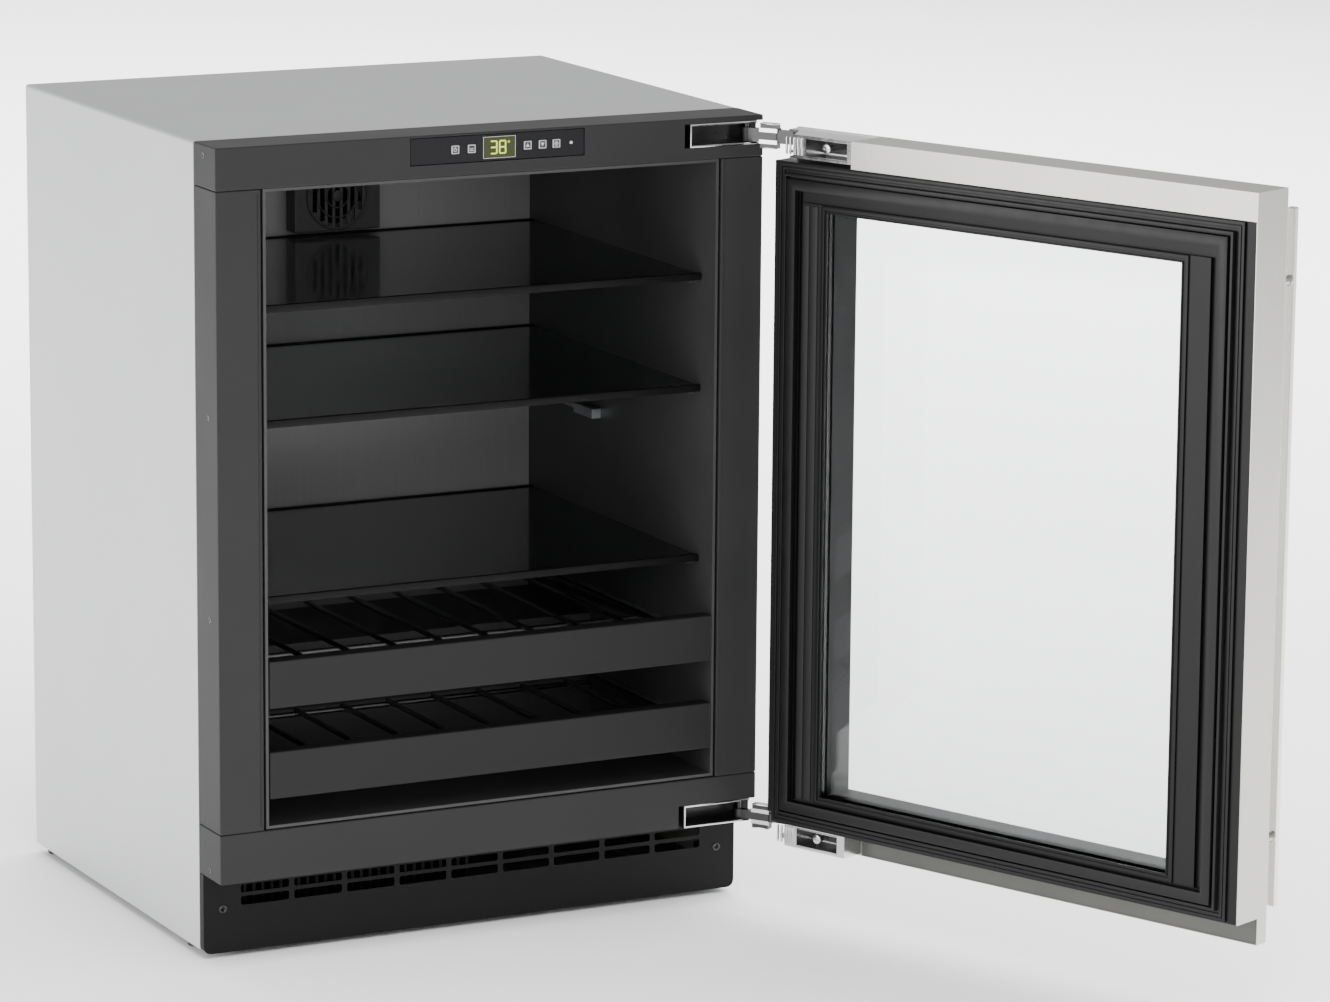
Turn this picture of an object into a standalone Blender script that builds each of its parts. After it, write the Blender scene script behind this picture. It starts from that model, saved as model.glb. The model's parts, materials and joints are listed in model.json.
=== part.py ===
"""Undercounter refrigerator: a built-in beverage cooler with a glass door, standing open.

Metres, +Z up, the door side facing -Y. The origin is the middle of the base pan's underside.
Depths are counted back from the front of the face frame, and heights up from the base pan.
"""
import math

import bmesh
import bpy
from mathutils import Vector

# ---------------------------------------------------------------- overall size
WIDTH = 0.608
DEPTH = 0.518
HEIGHT = 0.8285
GAP = 0.0003

# ---------------------------------------------------------------- sheet metal case
SHEET = 0.001
SHEET_BEND = 0.003
PAN_SHEET = 0.0012
PAN_FLANGE = 0.012

# ---------------------------------------------------------------- face frame
BAND_DEPTH = 0.0562
STILE_WIDTH = 0.048
TOP_RAIL = 0.043
RAIL_BOTTOM = 0.081
SILL_HEIGHT = 0.1325
FRAME_FRONT = 0.016
FRAME_WALL = 0.004
FRAME_ROUND = 0.0012

# ---------------------------------------------------------------- toe kick
TOE_RECESS = 0.0468
TOE_SHEET = 0.0015
TOE_DROP = 0.0038
TOE_CORNER = 0.008
VENT_COLUMNS = 9
VENT_WIDTH = 0.0875 * WIDTH
VENT_PITCH = 0.0970 * WIDTH
VENT_ROWS = ((0.0441, 0.0092), (0.0573, 0.0082))

# ---------------------------------------------------------------- liner and insulation
LINER_SIDE_GAP = 0.0025
LINER_WALL = 0.003
LINER_BACK = DEPTH - 0.028
STEP_DEPTH = DEPTH - 0.233
STEP_RISE = 0.1135
FOAM_UNDER = 0.040
FOAM_STEP = 0.030

# ---------------------------------------------------------------- cold air duct
DUCT_PLANE = LINER_BACK - 0.0512
DUCT_SHEET = 0.0015
SLOT_COUNT = 26
SLOT_PITCH = 0.016
SLOT_WIDTH = 0.005
SLOT_RISE = 0.0337
SLOT_HEIGHT = 0.019
FAN_X = 0.010
FAN_DROP = 0.0777
FAN_BOX = 0.100
FAN_BOX_ABOVE = 0.040
FAN_BOX_BELOW = 0.038
FAN_BOX_DEPTH = 0.024
FAN_BORE = 0.0335
FAN_BARS = 7

# ---------------------------------------------------------------- shelves
# Shelf heights are shares of the way from the step up to the underside of the fan box.
SHELF_SHARES = (0.2744, 0.7069, 0.9880)
SHELF_FRONT = 0.0302
SHELF_BACK = DUCT_PLANE - 0.0082
SHELF_GLASS = 0.005
PEG_RADIUS = 0.003
PEG_REACH = 0.009

# ---------------------------------------------------------------- roll-out racks
RACK_BOTTOMS = (0.1645, 0.2580)
RACK_DEPTHS = (STEP_DEPTH - 0.030, DUCT_PLANE - 0.0538)
RACK_NAMES = ("lower", "upper")
FASCIA_HEIGHT = 0.0487
FASCIA_THICK = 0.0165
RACK_TRAVEL = 0.200
WIRE = 0.0028
WIRE_COUNT = 9
RUNNER_HEIGHT = 0.009
RUNNER_WIDTH = 0.0095
RAIL_HEIGHT = 0.0145
RAIL_WIDTH = 0.0062
RAIL_SHEET = 0.0015

# ---------------------------------------------------------------- door
DOOR_SIDE_GAP = 0.002
DOOR_TOP_GAP = 0.0101
DOOR_THICK = 0.0503
DOOR_OPEN = 112.38
CLOSED_GAP = 0.0105
SKIN_BOTTOM = 0.0681
SKIN_LIP = 0.0282
SKIN_RETURN = 0.0158
SKIN_SHEET = 0.001
BODY_BOTTOM = 0.0954
BODY_INSET = 0.010
PIVOT_SIDE = -0.0017
PIVOT_FRONT = CLOSED_GAP + DOOR_THICK - 0.0257
GASKET_INSET = 0.017
GASKET_WIDTH = 0.028
GASKET_LEG = 0.025
DYKE_INSET = 0.050
DYKE_LEG = 0.008
DYKE_RISE = 0.004
PANE = 0.004
SIGHT_SIDE = 0.083
SIGHT_BOTTOM = 0.0385
SIGHT_TOP = 0.0475
SKIN_WINDOW_SIDE = 0.062
SKIN_WINDOW_BOTTOM = 0.050
SKIN_WINDOW_TOP = 0.060
OUTER_PANE_LAP = 0.015
INNER_PANE_LAP = 0.0045
INNER_PANE_SET = 0.004

# ---------------------------------------------------------------- hinges
HINGE_PLATE = 0.0022
CUP_HEIGHT = 0.024
CUP_TOP_DROP = 0.0060
CUP_BOTTOM_RISE = -0.0004
BRACKET_HEIGHT = 0.0240
BRACKET_TOP_DROP = 0.0009
CUP_WIDTH = 0.077
CUP_DEPTH = 0.030
CUP_SIDE = 0.0072
CUP_MARGIN = 0.0065
CABINET_PIN_SIDE = 0.014
CABINET_PIN_DEPTH = 0.010
PIN_RADIUS = 0.0022
PIN_FIT = 0.00006
ARM_HALF = 0.0034
EYE_RADIUS = 0.0050
KNUCKLE_HALF = 0.0044
KNUCKLE_START = 0.0180
KNUCKLE_END = 0.0370
DOOR_PIN_REACH = 0.018
POCKET_WIDTH = 0.108
BODY_NOTCH = 0.022

# ---------------------------------------------------------------- handle
HANDLE_EDGE = 0.0178
HANDLE_WIDTH = 0.009
HANDLE_THICK = 0.007
HANDLE_STAND = 0.0385
HANDLE_ENDS = 0.024
POST_INSET = 0.0720
POST_RADIUS = 0.0045

# ---------------------------------------------------------------- controls
PANEL_X = 0.0025
PANEL_WIDTH = 0.194
PANEL_HEIGHT = 0.028
PANEL_DROP = 0.0024
PANEL_DEPTH = 0.010
PANEL_SET = 0.0008
BUTTON_SIZE = 0.0095
BUTTON_TRAVEL = 0.0008
BUTTON_X = (-0.0446, -0.0265, 0.0357, 0.0523, 0.0678)
LENS_X = 0.0042
LENS_WIDTH = 0.0365
LENS_HEIGHT = 0.0225
LED_X = 0.0845
LED_RADIUS = 0.0016

# ---------------------------------------------------------------- feet
FOOT_SIDE = 0.014
FOOT_FRONT = 0.104
FOOT_BACK = 0.0185
FOOT_PAD = 0.0075
FOOT_PAD_HEIGHT = 0.006
FOOT_SHOWS = 0.003
STUD_RADIUS = 0.004
STUD_LENGTH = 0.034
STUD_FIT = 0.0003
BOSS_RADIUS = 0.0085
BOSS_HEIGHT = 0.010

# ---------------------------------------------------------------- worked out from those above
SIDE = WIDTH / 2
FACE = -DEPTH / 2
OPENING = SIDE - STILE_WIDTH
OPENING_TOP = HEIGHT - TOP_RAIL
LINER_OUT = OPENING - LINER_SIDE_GAP
LINER_IN = LINER_OUT - LINER_WALL
FLOOR = SILL_HEIGHT + GAP + LINER_WALL + 0.001
CEILING = OPENING_TOP - GAP - LINER_WALL
STEP_TOP = FLOOR + STEP_RISE
SLOT_LOW = STEP_TOP + SLOT_RISE
FAN_Z = CEILING - FAN_DROP
FAN_BOX_BOTTOM = FAN_Z - FAN_BOX_BELOW
SHELF_TOPS = [STEP_TOP + share * (FAN_BOX_BOTTOM - STEP_TOP) for share in SHELF_SHARES]
DOOR_WIDTH = WIDTH - 2 * DOOR_SIDE_GAP
DOOR_TOP = HEIGHT - DOOR_TOP_GAP
LIP_BOTTOM = DOOR_TOP - SKIN_LIP
ROUND = 24


def depth(behind):
    """World Y of a plane this far behind the front of the face frame."""
    return FACE + behind


# ---------------------------------------------------------------- scene and materials
for old in list(bpy.data.objects):
    bpy.data.objects.remove(old, do_unlink=True)

PARTS = bpy.data.collections.new("undercounter_refrigerator")
TOOLS = bpy.data.collections.new("cutters")
TOOLS.hide_render = True
bpy.context.scene.collection.children.link(PARTS)
bpy.context.scene.collection.children.link(TOOLS)


def material(name, colour, metallic, roughness, alpha=1.0):
    made = bpy.data.materials.new(name)
    made.use_nodes = True
    shader = made.node_tree.nodes["Principled BSDF"]
    shader.inputs["Base Color"].default_value = (*colour, 1.0)
    shader.inputs["Metallic"].default_value = metallic
    shader.inputs["Roughness"].default_value = roughness
    shader.inputs["Alpha"].default_value = alpha
    made.diffuse_color = (*colour, alpha)
    return made


CASE_PAINT = material("case_paint", (0.52, 0.53, 0.54), 0.6, 0.4)
FRAME_PLASTIC = material("frame_plastic", (0.045, 0.045, 0.047), 0.0, 0.45)
LINER_PLASTIC = material("liner_plastic", (0.035, 0.035, 0.036), 0.0, 0.5)
FOAM = material("foam", (0.75, 0.68, 0.48), 0.0, 0.9)
STAINLESS = material("stainless", (0.62, 0.62, 0.60), 1.0, 0.3)
CHROME = material("chrome", (0.75, 0.75, 0.76), 1.0, 0.12)
BLACK_STEEL = material("black_steel", (0.03, 0.03, 0.03), 0.4, 0.4)
RUBBER = material("rubber", (0.02, 0.02, 0.02), 0.0, 0.7)
GLASS = material("glass", (0.75, 0.8, 0.8), 0.0, 0.05, 0.3)
ALUMINIUM = material("aluminium", (0.7, 0.7, 0.7), 1.0, 0.4)
WIRE_STEEL = material("wire_steel", (0.35, 0.35, 0.35), 1.0, 0.3)
FASCIA_PAINT = material("fascia_paint", (0.05, 0.05, 0.052), 0.0, 0.4)
LENS = material("lens", (0.3, 0.4, 0.05), 0.0, 0.2)
BUTTON_GREY = material("button_grey", (0.12, 0.12, 0.12), 0.0, 0.5)
GALVANISED = material("galvanised", (0.55, 0.56, 0.57), 0.9, 0.45)


# ---------------------------------------------------------------- solid builders
def made_object(name, mesh_builder, collection, paint=None):
    mesh = bpy.data.meshes.new(name)
    mesh_builder.normal_update()
    bmesh.ops.recalc_face_normals(mesh_builder, faces=mesh_builder.faces)
    mesh_builder.to_mesh(mesh)
    mesh_builder.free()
    obj = bpy.data.objects.new(name, mesh)
    collection.objects.link(obj)
    if paint:
        mesh.materials.append(paint)
    else:
        obj.display_type = "WIRE"
        obj.hide_render = True
    return obj


def box_mesh(low, high):
    work = bmesh.new()
    bmesh.ops.create_cube(work, size=1.0)
    size = [b - a for a, b in zip(low, high)]
    middle = [(a + b) / 2 for a, b in zip(low, high)]
    bmesh.ops.scale(work, vec=size, verts=work.verts)
    bmesh.ops.translate(work, vec=middle, verts=work.verts)
    return work


def solid_from(maker):
    """The welded mesh of an object as its modifiers or curve settings shape it. The object is then removed."""
    bpy.context.scene.collection.objects.link(maker)
    bpy.context.view_layer.update()
    shaped = maker.evaluated_get(bpy.context.evaluated_depsgraph_get())
    mesh = bpy.data.meshes.new_from_object(shaped)
    work = bmesh.new()
    work.from_mesh(mesh)
    bmesh.ops.remove_doubles(work, verts=work.verts, dist=0.00001)
    bpy.data.objects.remove(maker, do_unlink=True)
    bpy.data.meshes.remove(mesh)
    return work


def prism_mesh(outline, axis, low, high, hole=None):
    """A flat outline pushed along an axis. The outline's two numbers are the other axes in X, Y, Z order."""
    flat = bpy.data.curves.new("outline", "CURVE")
    flat.dimensions = "2D"
    flat.fill_mode = "BOTH"
    flat.extrude = (high - low) / 2
    for loop in (outline, hole):
        if not loop:
            continue
        spline = flat.splines.new("POLY")
        spline.points.add(len(loop) - 1)
        for point, (first, second) in zip(spline.points, loop):
            point.co = (first, second, 0, 1)
        spline.use_cyclic_u = True
    work = solid_from(bpy.data.objects.new("outline", flat))
    middle = (low + high) / 2
    for vertex in work.verts:
        first, second, along = vertex.co
        spot = [first, second]
        spot.insert(axis, along + middle)
        vertex.co = spot
    return work


def wire_mesh(points, radius):
    """A round wire along a line of points, its ends closed."""
    path = bpy.data.curves.new("wire", "CURVE")
    path.dimensions = "3D"
    path.bevel_depth = radius
    path.bevel_resolution = 1
    path.use_fill_caps = True
    spline = path.splines.new("POLY")
    spline.points.add(len(points) - 1)
    for point, spot in zip(spline.points, points):
        point.co = (*spot, 1)
    return solid_from(bpy.data.objects.new("wire", path))


def rod_mesh(start, end, radius, segments=ROUND):
    work = bmesh.new()
    start, end = Vector(start), Vector(end)
    along = end - start
    bmesh.ops.create_cone(
        work,
        cap_ends=True,
        segments=segments,
        radius1=radius,
        radius2=radius,
        depth=along.length,
    )
    turn = along.to_track_quat("Z", "Y").to_matrix()
    bmesh.ops.rotate(work, cent=(0, 0, 0), matrix=turn, verts=work.verts)
    bmesh.ops.translate(work, vec=(start + end) / 2, verts=work.verts)
    return work


def turned_mesh(profile, centre, segments=32):
    """A solid turned about a vertical line. The profile runs from the axis at the top down to the axis below."""
    line = bpy.data.meshes.new("profile")
    corners = [(radius, 0, height) for radius, height in profile]
    line.from_pydata(corners, [(i, i + 1) for i in range(len(corners) - 1)], [])
    maker = bpy.data.objects.new("profile", line)
    spin = maker.modifiers.new("turn", "SCREW")
    spin.steps = segments
    spin.render_steps = segments
    spin.use_merge_vertices = True
    spin.merge_threshold = 0.00001
    work = solid_from(maker)
    bmesh.ops.translate(work, vec=(centre[0], centre[1], 0), verts=work.verts)
    return work


def arc(centre, radius, start, end, steps):
    """Points along a circular arc, angles in degrees."""
    points = []
    for i in range(steps + 1):
        angle = math.radians(start + (end - start) * i / steps)
        x = centre[0] + radius * math.cos(angle)
        y = centre[1] + radius * math.sin(angle)
        points.append((x, y))
    return points


def rounded(low, high, radius, steps=4):
    """A rectangle with rounded corners, anticlockwise."""
    x0, y0 = low
    x1, y1 = high
    points = arc((x1 - radius, y0 + radius), radius, -90, 0, steps)
    points += arc((x1 - radius, y1 - radius), radius, 0, 90, steps)
    points += arc((x0 + radius, y1 - radius), radius, 90, 180, steps)
    points += arc((x0 + radius, y0 + radius), radius, 180, 270, steps)
    return points


def part(name, mesh_builder, paint):
    return made_object(name, mesh_builder, PARTS, paint)


def tool(name, mesh_builder):
    return made_object(name, mesh_builder, TOOLS)


def change(target, operation, helpers):
    for helper in helpers:
        step = target.modifiers.new(operation.lower() + "_" + helper.name, "BOOLEAN")
        step.operation = operation
        step.solver = "EXACT"
        step.object = helper


def cut(target, *helpers):
    change(target, "DIFFERENCE", helpers)


def join(target, *helpers):
    change(target, "UNION", helpers)


def ease(target, width, steps=2, angle=35):
    """Rounds the sharp edges of a piece."""
    step = target.modifiers.new("eased_edges", "BEVEL")
    step.width = width
    step.segments = steps
    step.limit_method = "ANGLE"
    step.angle_limit = math.radians(angle)


def move_origin(target, point):
    """Puts a moving piece's origin on its joint axis."""
    shift = Vector(point)
    for vertex in target.data.vertices:
        vertex.co -= shift
    target.location = shift


# ---------------------------------------------------------------- sheet metal case
def wrapper_outline():
    """The folded steel sheet that makes both sides and the top, seen from the front."""
    inner = SIDE - SHEET
    bend = SHEET_BEND
    outline = [(SIDE, 0.0)]
    outline += arc((SIDE - bend, HEIGHT - bend), bend, 0, 90, 4)
    outline += arc((-SIDE + bend, HEIGHT - bend), bend, 90, 180, 4)
    outline += [(-SIDE, 0.0), (-inner, 0.0)]
    outline += arc((-SIDE + bend, HEIGHT - bend), bend - SHEET, 180, 90, 4)
    outline += arc((SIDE - bend, HEIGHT - bend), bend - SHEET, 90, 0, 4)
    outline += [(inner, 0.0)]
    return outline


part(
    "case_wrapper",
    prism_mesh(wrapper_outline(), 1, depth(BAND_DEPTH + GAP), depth(DEPTH)),
    CASE_PAINT,
)

inside = SIDE - SHEET - GAP
back_front = DEPTH - SHEET


def case_section(half, bottom, top):
    """A panel's outline seen from the front, its top corners rounded to sit inside the case bends."""
    bend = SHEET_BEND
    outline = [(-half, bottom), (half, bottom)]
    outline += arc((half - bend, top - bend), bend, 0, 90, 4)
    outline += arc((-half + bend, top - bend), bend, 90, 180, 4)
    return outline


back_panel = part(
    "back_panel",
    prism_mesh(
        case_section(inside, GAP, HEIGHT - SHEET - GAP),
        1,
        depth(back_front),
        depth(DEPTH - GAP),
    ),
    GALVANISED,
)

foot_spots = []
for row, along in (("front", FOOT_FRONT), ("rear", DEPTH - FOOT_BACK)):
    for hand, sign in (("left", -1), ("right", 1)):
        foot_spots.append((f"foot_{row}_{hand}", sign * (SIDE - FOOT_SIDE), depth(along)))

pan_front = depth(BAND_DEPTH + 2 * GAP)
pan_back = depth(back_front - GAP)
base_pan = part(
    "base_pan",
    box_mesh((-inside, pan_front, 0.0), (inside, pan_back, PAN_FLANGE)),
    GALVANISED,
)
cut(
    base_pan,
    tool(
        "pan_hollow",
        box_mesh(
            (-inside + PAN_SHEET, pan_front + PAN_SHEET, PAN_SHEET),
            (inside - PAN_SHEET, pan_back - PAN_SHEET, PAN_FLANGE + 0.01),
        ),
    ),
)
for name, x, y in foot_spots:
    boss = tool(
        name + "_boss",
        rod_mesh((x, y, PAN_SHEET / 2), (x, y, BOSS_HEIGHT), BOSS_RADIUS),
    )
    join(base_pan, boss)
for name, x, y in foot_spots:
    hole = tool(
        name + "_hole",
        rod_mesh((x, y, -0.01), (x, y, BOSS_HEIGHT + 0.01), STUD_RADIUS + STUD_FIT),
    )
    cut(base_pan, hole)

# Levelling feet, screwed in as far as they go.
for name, x, y in foot_spots:
    bottom = -FOOT_SHOWS - FOOT_PAD_HEIGHT
    shape = [
        (0, STUD_LENGTH),
        (STUD_RADIUS - 0.001, STUD_LENGTH),
        (STUD_RADIUS, STUD_LENGTH - 0.001),
        (STUD_RADIUS, -FOOT_SHOWS),
        (FOOT_PAD - 0.001, -FOOT_SHOWS),
        (FOOT_PAD, -FOOT_SHOWS - 0.001),
        (FOOT_PAD, bottom + 0.001),
        (FOOT_PAD - 0.001, bottom),
        (0, bottom),
    ]
    foot = part(name, turned_mesh(shape, (x, y), ROUND), BLACK_STEEL)
    move_origin(foot, (x, y, bottom))

# ---------------------------------------------------------------- toe kick
toe_top = RAIL_BOTTOM - GAP
toe_outer = SIDE - GAP
toe_kick = part(
    "toe_kick",
    prism_mesh(
        [
            (-toe_outer, depth(TOE_RECESS)),
            (toe_outer, depth(TOE_RECESS)),
            (toe_outer, depth(BAND_DEPTH)),
            (toe_outer - TOE_SHEET, depth(BAND_DEPTH)),
            (toe_outer - TOE_SHEET, depth(TOE_RECESS + TOE_SHEET)),
            (-toe_outer + TOE_SHEET, depth(TOE_RECESS + TOE_SHEET)),
            (-toe_outer + TOE_SHEET, depth(BAND_DEPTH)),
            (-toe_outer, depth(BAND_DEPTH)),
        ],
        2,
        -TOE_DROP,
        toe_top,
    ),
    FRAME_PLASTIC,
)
for sign in (-1, 1):
    corner = [(sign * (toe_outer + 0.001), -TOE_DROP - 0.001)]
    corner.append((sign * (toe_outer - TOE_CORNER), -TOE_DROP - 0.001))
    middle = (sign * (toe_outer - TOE_CORNER), -TOE_DROP + TOE_CORNER)
    if sign > 0:
        corner += arc(middle, TOE_CORNER, 270, 360, 4)
    else:
        corner += arc(middle, TOE_CORNER, 270, 180, 4)
    corner.append((sign * (toe_outer + 0.001), -TOE_DROP + TOE_CORNER))
    side_name = "left" if sign < 0 else "right"
    cut(
        toe_kick,
        tool(
            "toe_corner_" + side_name,
            prism_mesh(corner, 1, depth(TOE_RECESS - 0.01), depth(BAND_DEPTH + 0.01)),
        ),
    )
for row, (low, tall) in enumerate(VENT_ROWS):
    for column in range(VENT_COLUMNS):
        middle = (column - (VENT_COLUMNS - 1) / 2) * VENT_PITCH
        half = VENT_WIDTH / 2
        slot = rounded((middle - half, low), (middle + half, low + tall), 0.002, 2)
        cut(
            toe_kick,
            tool(
                f"vent_{row}_{column}",
                prism_mesh(slot, 1, depth(TOE_RECESS - 0.01), depth(TOE_RECESS + 0.005)),
            ),
        )

# ---------------------------------------------------------------- face frame
cup_top = HEIGHT - CUP_TOP_DROP
cup_base = RAIL_BOTTOM + CUP_BOTTOM_RISE
bracket_top = DOOR_TOP - BRACKET_TOP_DROP
bracket_roof = BODY_BOTTOM - 2 * GAP
cup_levels = {
    "upper": (cup_top - CUP_HEIGHT, cup_top),
    "lower": (cup_base, cup_base + CUP_HEIGHT),
}
bracket_levels = {
    "upper": (bracket_top - BRACKET_HEIGHT, bracket_top),
    "lower": (bracket_roof - BRACKET_HEIGHT, bracket_roof),
}
cup_right = SIDE - CUP_SIDE
cup_left = cup_right - CUP_WIDTH


def rail(name, low, high):
    """A frame rail: a thick front with a hollow behind it, left of the hinge pocket."""
    made = part(
        name,
        box_mesh((-SIDE, depth(0), low), (SIDE, depth(BAND_DEPTH), high)),
        FRAME_PLASTIC,
    )
    ease(made, FRAME_ROUND)
    hollow = tool(
        name + "_hollow",
        box_mesh(
            (-SIDE + FRAME_WALL, depth(FRAME_FRONT), low + FRAME_WALL),
            (cup_left - 0.012, depth(BAND_DEPTH + 0.01), high - FRAME_WALL),
        ),
    )
    cut(made, hollow)
    return made


top_rail = rail("frame_top_rail", OPENING_TOP, HEIGHT)
bottom_rail = rail("frame_bottom_rail", RAIL_BOTTOM, SILL_HEIGHT)
for side_name, sign in (("left", -1), ("right", 1)):
    near, far = sorted((sign * OPENING, sign * SIDE))
    stile = part(
        f"frame_{side_name}_stile",
        box_mesh(
            (near, depth(0), SILL_HEIGHT + GAP),
            (far, depth(BAND_DEPTH), OPENING_TOP - GAP),
        ),
        FRAME_PLASTIC,
    )
    ease(stile, FRAME_ROUND)
    cut(
        stile,
        tool(
            f"{side_name}_stile_hollow",
            box_mesh(
                (near + FRAME_WALL, depth(FRAME_FRONT), SILL_HEIGHT + FRAME_WALL),
                (far - FRAME_WALL, depth(BAND_DEPTH + 0.01), OPENING_TOP - FRAME_WALL),
            ),
        ),
    )

# ---------------------------------------------------------------- liner and insulation
def liner_outline(grow, front):
    """The food compartment in side view: a floor, a step over the machine bay, a back and a ceiling."""
    return [
        (depth(front), FLOOR - grow),
        (depth(STEP_DEPTH + grow), FLOOR - grow),
        (depth(STEP_DEPTH + grow), STEP_TOP - grow),
        (depth(LINER_BACK + grow), STEP_TOP - grow),
        (depth(LINER_BACK + grow), CEILING + grow),
        (depth(front), CEILING + grow),
    ]


liner = part(
    "inner_liner",
    prism_mesh(liner_outline(LINER_WALL, 0.0012), 0, -LINER_OUT, LINER_OUT),
    LINER_PLASTIC,
)
cut(
    liner,
    tool(
        "liner_inside", prism_mesh(liner_outline(0.0, -0.02), 0, -LINER_IN, LINER_IN)
    ),
)
peg_depths = (SHELF_FRONT + 0.014, DUCT_PLANE - 0.085)
for level, top in enumerate(SHELF_TOPS):
    for hand, sign in (("left", -1), ("right", 1)):
        for place, along in zip(("front", "back"), peg_depths):
            z = top - SHELF_GLASS - GAP - PEG_RADIUS
            join(
                liner,
                tool(
                    f"peg_{level}_{hand}_{place}",
                    rod_mesh(
                        (sign * (LINER_IN + 0.0015), depth(along), z),
                        (sign * (LINER_IN - PEG_REACH), depth(along), z),
                        PEG_RADIUS,
                        10,
                    ),
                ),
            )

foam_under = FLOOR - LINER_WALL - FOAM_UNDER
bay_front = STEP_DEPTH + LINER_WALL + FOAM_STEP
bay_top = STEP_TOP - LINER_WALL - FOAM_STEP
foam_side = inside - GAP
foam = part(
    "insulation",
    prism_mesh(
        case_section(foam_side, foam_under, HEIGHT - SHEET - 2 * GAP),
        1,
        depth(BAND_DEPTH + GAP),
        depth(back_front - GAP),
    ),
    FOAM,
)
cut(
    foam,
    tool(
        "machine_bay",
        box_mesh(
            (-SIDE, depth(bay_front), foam_under - 0.01),
            (SIDE, depth(DEPTH), bay_top),
        ),
    ),
    tool(
        "foam_inside",
        prism_mesh(
            liner_outline(LINER_WALL + GAP, -0.02), 0, -LINER_OUT - GAP, LINER_OUT + GAP
        ),
    ),
)

# ---------------------------------------------------------------- cold air duct, fan and evaporator
duct_half = LINER_IN - GAP
duct = part(
    "duct_cover",
    box_mesh(
        (-duct_half, depth(DUCT_PLANE), STEP_TOP + GAP),
        (duct_half, depth(DUCT_PLANE + DUCT_SHEET), CEILING - GAP),
    ),
    LINER_PLASTIC,
)
for i in range(SLOT_COUNT):
    middle = (i - (SLOT_COUNT - 1) / 2) * SLOT_PITCH
    cut(
        duct,
        tool(
            f"air_slot_{i}",
            box_mesh(
                (middle - SLOT_WIDTH / 2, depth(DUCT_PLANE - 0.01), SLOT_LOW),
                (middle + SLOT_WIDTH / 2, depth(DUCT_PLANE + 0.01), SLOT_LOW + SLOT_HEIGHT),
            ),
        ),
    )
cut(
    duct,
    tool(
        "fan_hole",
        rod_mesh(
            (FAN_X, depth(DUCT_PLANE - 0.01), FAN_Z),
            (FAN_X, depth(DUCT_PLANE + 0.01), FAN_Z),
            FAN_BORE,
        ),
    ),
)

box_half = FAN_BOX / 2
guard_top = FAN_Z + FAN_BOX_ABOVE
guard_bottom = FAN_BOX_BOTTOM
guard = part(
    "fan_guard",
    box_mesh(
        (FAN_X - box_half, depth(DUCT_PLANE - FAN_BOX_DEPTH), guard_bottom),
        (FAN_X + box_half, depth(DUCT_PLANE - GAP), guard_top),
    ),
    LINER_PLASTIC,
)
ease(guard, 0.0015)
cut(
    guard,
    tool(
        "guard_hollow",
        box_mesh(
            (FAN_X - box_half + 0.002, depth(DUCT_PLANE - FAN_BOX_DEPTH + 0.002), guard_bottom + 0.002),
            (FAN_X + box_half - 0.002, depth(DUCT_PLANE + 0.01), guard_top - 0.002),
        ),
    ),
)
for i in range(FAN_BARS):
    offset = (i - (FAN_BARS - 1) / 2) * 0.0088
    reach = math.sqrt(FAN_BORE**2 - (abs(offset) + 0.0026) ** 2)
    cut(
        guard,
        tool(
            f"guard_slot_{i}",
            box_mesh(
                (FAN_X + offset - 0.0026, depth(DUCT_PLANE - FAN_BOX_DEPTH - 0.01), FAN_Z - reach),
                (FAN_X + offset + 0.0026, depth(DUCT_PLANE - FAN_BOX_DEPTH + 0.005), FAN_Z + reach),
            ),
        ),
    )


def fan_rotor(name, centre, radius, hub, half, blades, paint):
    """A hub with flat pitched blades, on an axis along +Y."""
    x, y, z = centre
    rotor = part(name, rod_mesh((x, y - half, z), (x, y + half, z), hub, ROUND), paint)
    for i in range(blades):
        work = box_mesh((hub * 0.7, -half * 0.75, -0.0007), (radius, half * 0.75, 0.0007))
        wide = hub * 0.75
        for vertex in work.verts:
            lift = wide if vertex.co.y > 0 else -wide
            vertex.co.z += lift
        turn = 2 * math.pi * i / blades
        for vertex in work.verts:
            vx, vz = vertex.co.x, vertex.co.z
            vertex.co.x = x + vx * math.cos(turn) - vz * math.sin(turn)
            vertex.co.z = z + vx * math.sin(turn) + vz * math.cos(turn)
            vertex.co.y += y
        join(rotor, tool(f"{name}_blade_{i}", work))
    move_origin(rotor, centre)
    return rotor


rotor_y = depth(DUCT_PLANE - 0.011)
fan_rotor("evaporator_fan", (FAN_X, rotor_y, FAN_Z), 0.031, 0.011, 0.0065, 5, BLACK_STEEL)
part(
    "evaporator_fan_motor",
    turned_mesh(
        [(0, 0.018), (0.017, 0.018), (0.018, 0.017), (0.018, 0.001), (0.017, 0), (0, 0)],
        (0, 0),
        ROUND,
    ),
    BLACK_STEEL,
)
motor = bpy.data.objects["evaporator_fan_motor"]
for vertex in motor.data.vertices:
    x, y, z = vertex.co
    vertex.co = (FAN_X + x, rotor_y + 0.0068 + z, FAN_Z - y)
# The motor hangs from the foam side of the duct by a flat strap.
strap_low = FAN_Z - 0.045
join(
    motor,
    tool(
        "motor_strap",
        box_mesh(
            (FAN_X - 0.006, depth(DUCT_PLANE + DUCT_SHEET + GAP), strap_low),
            (FAN_X + 0.006, depth(DUCT_PLANE + DUCT_SHEET + 0.002), FAN_Z + 0.045),
        ),
    ),
)


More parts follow.
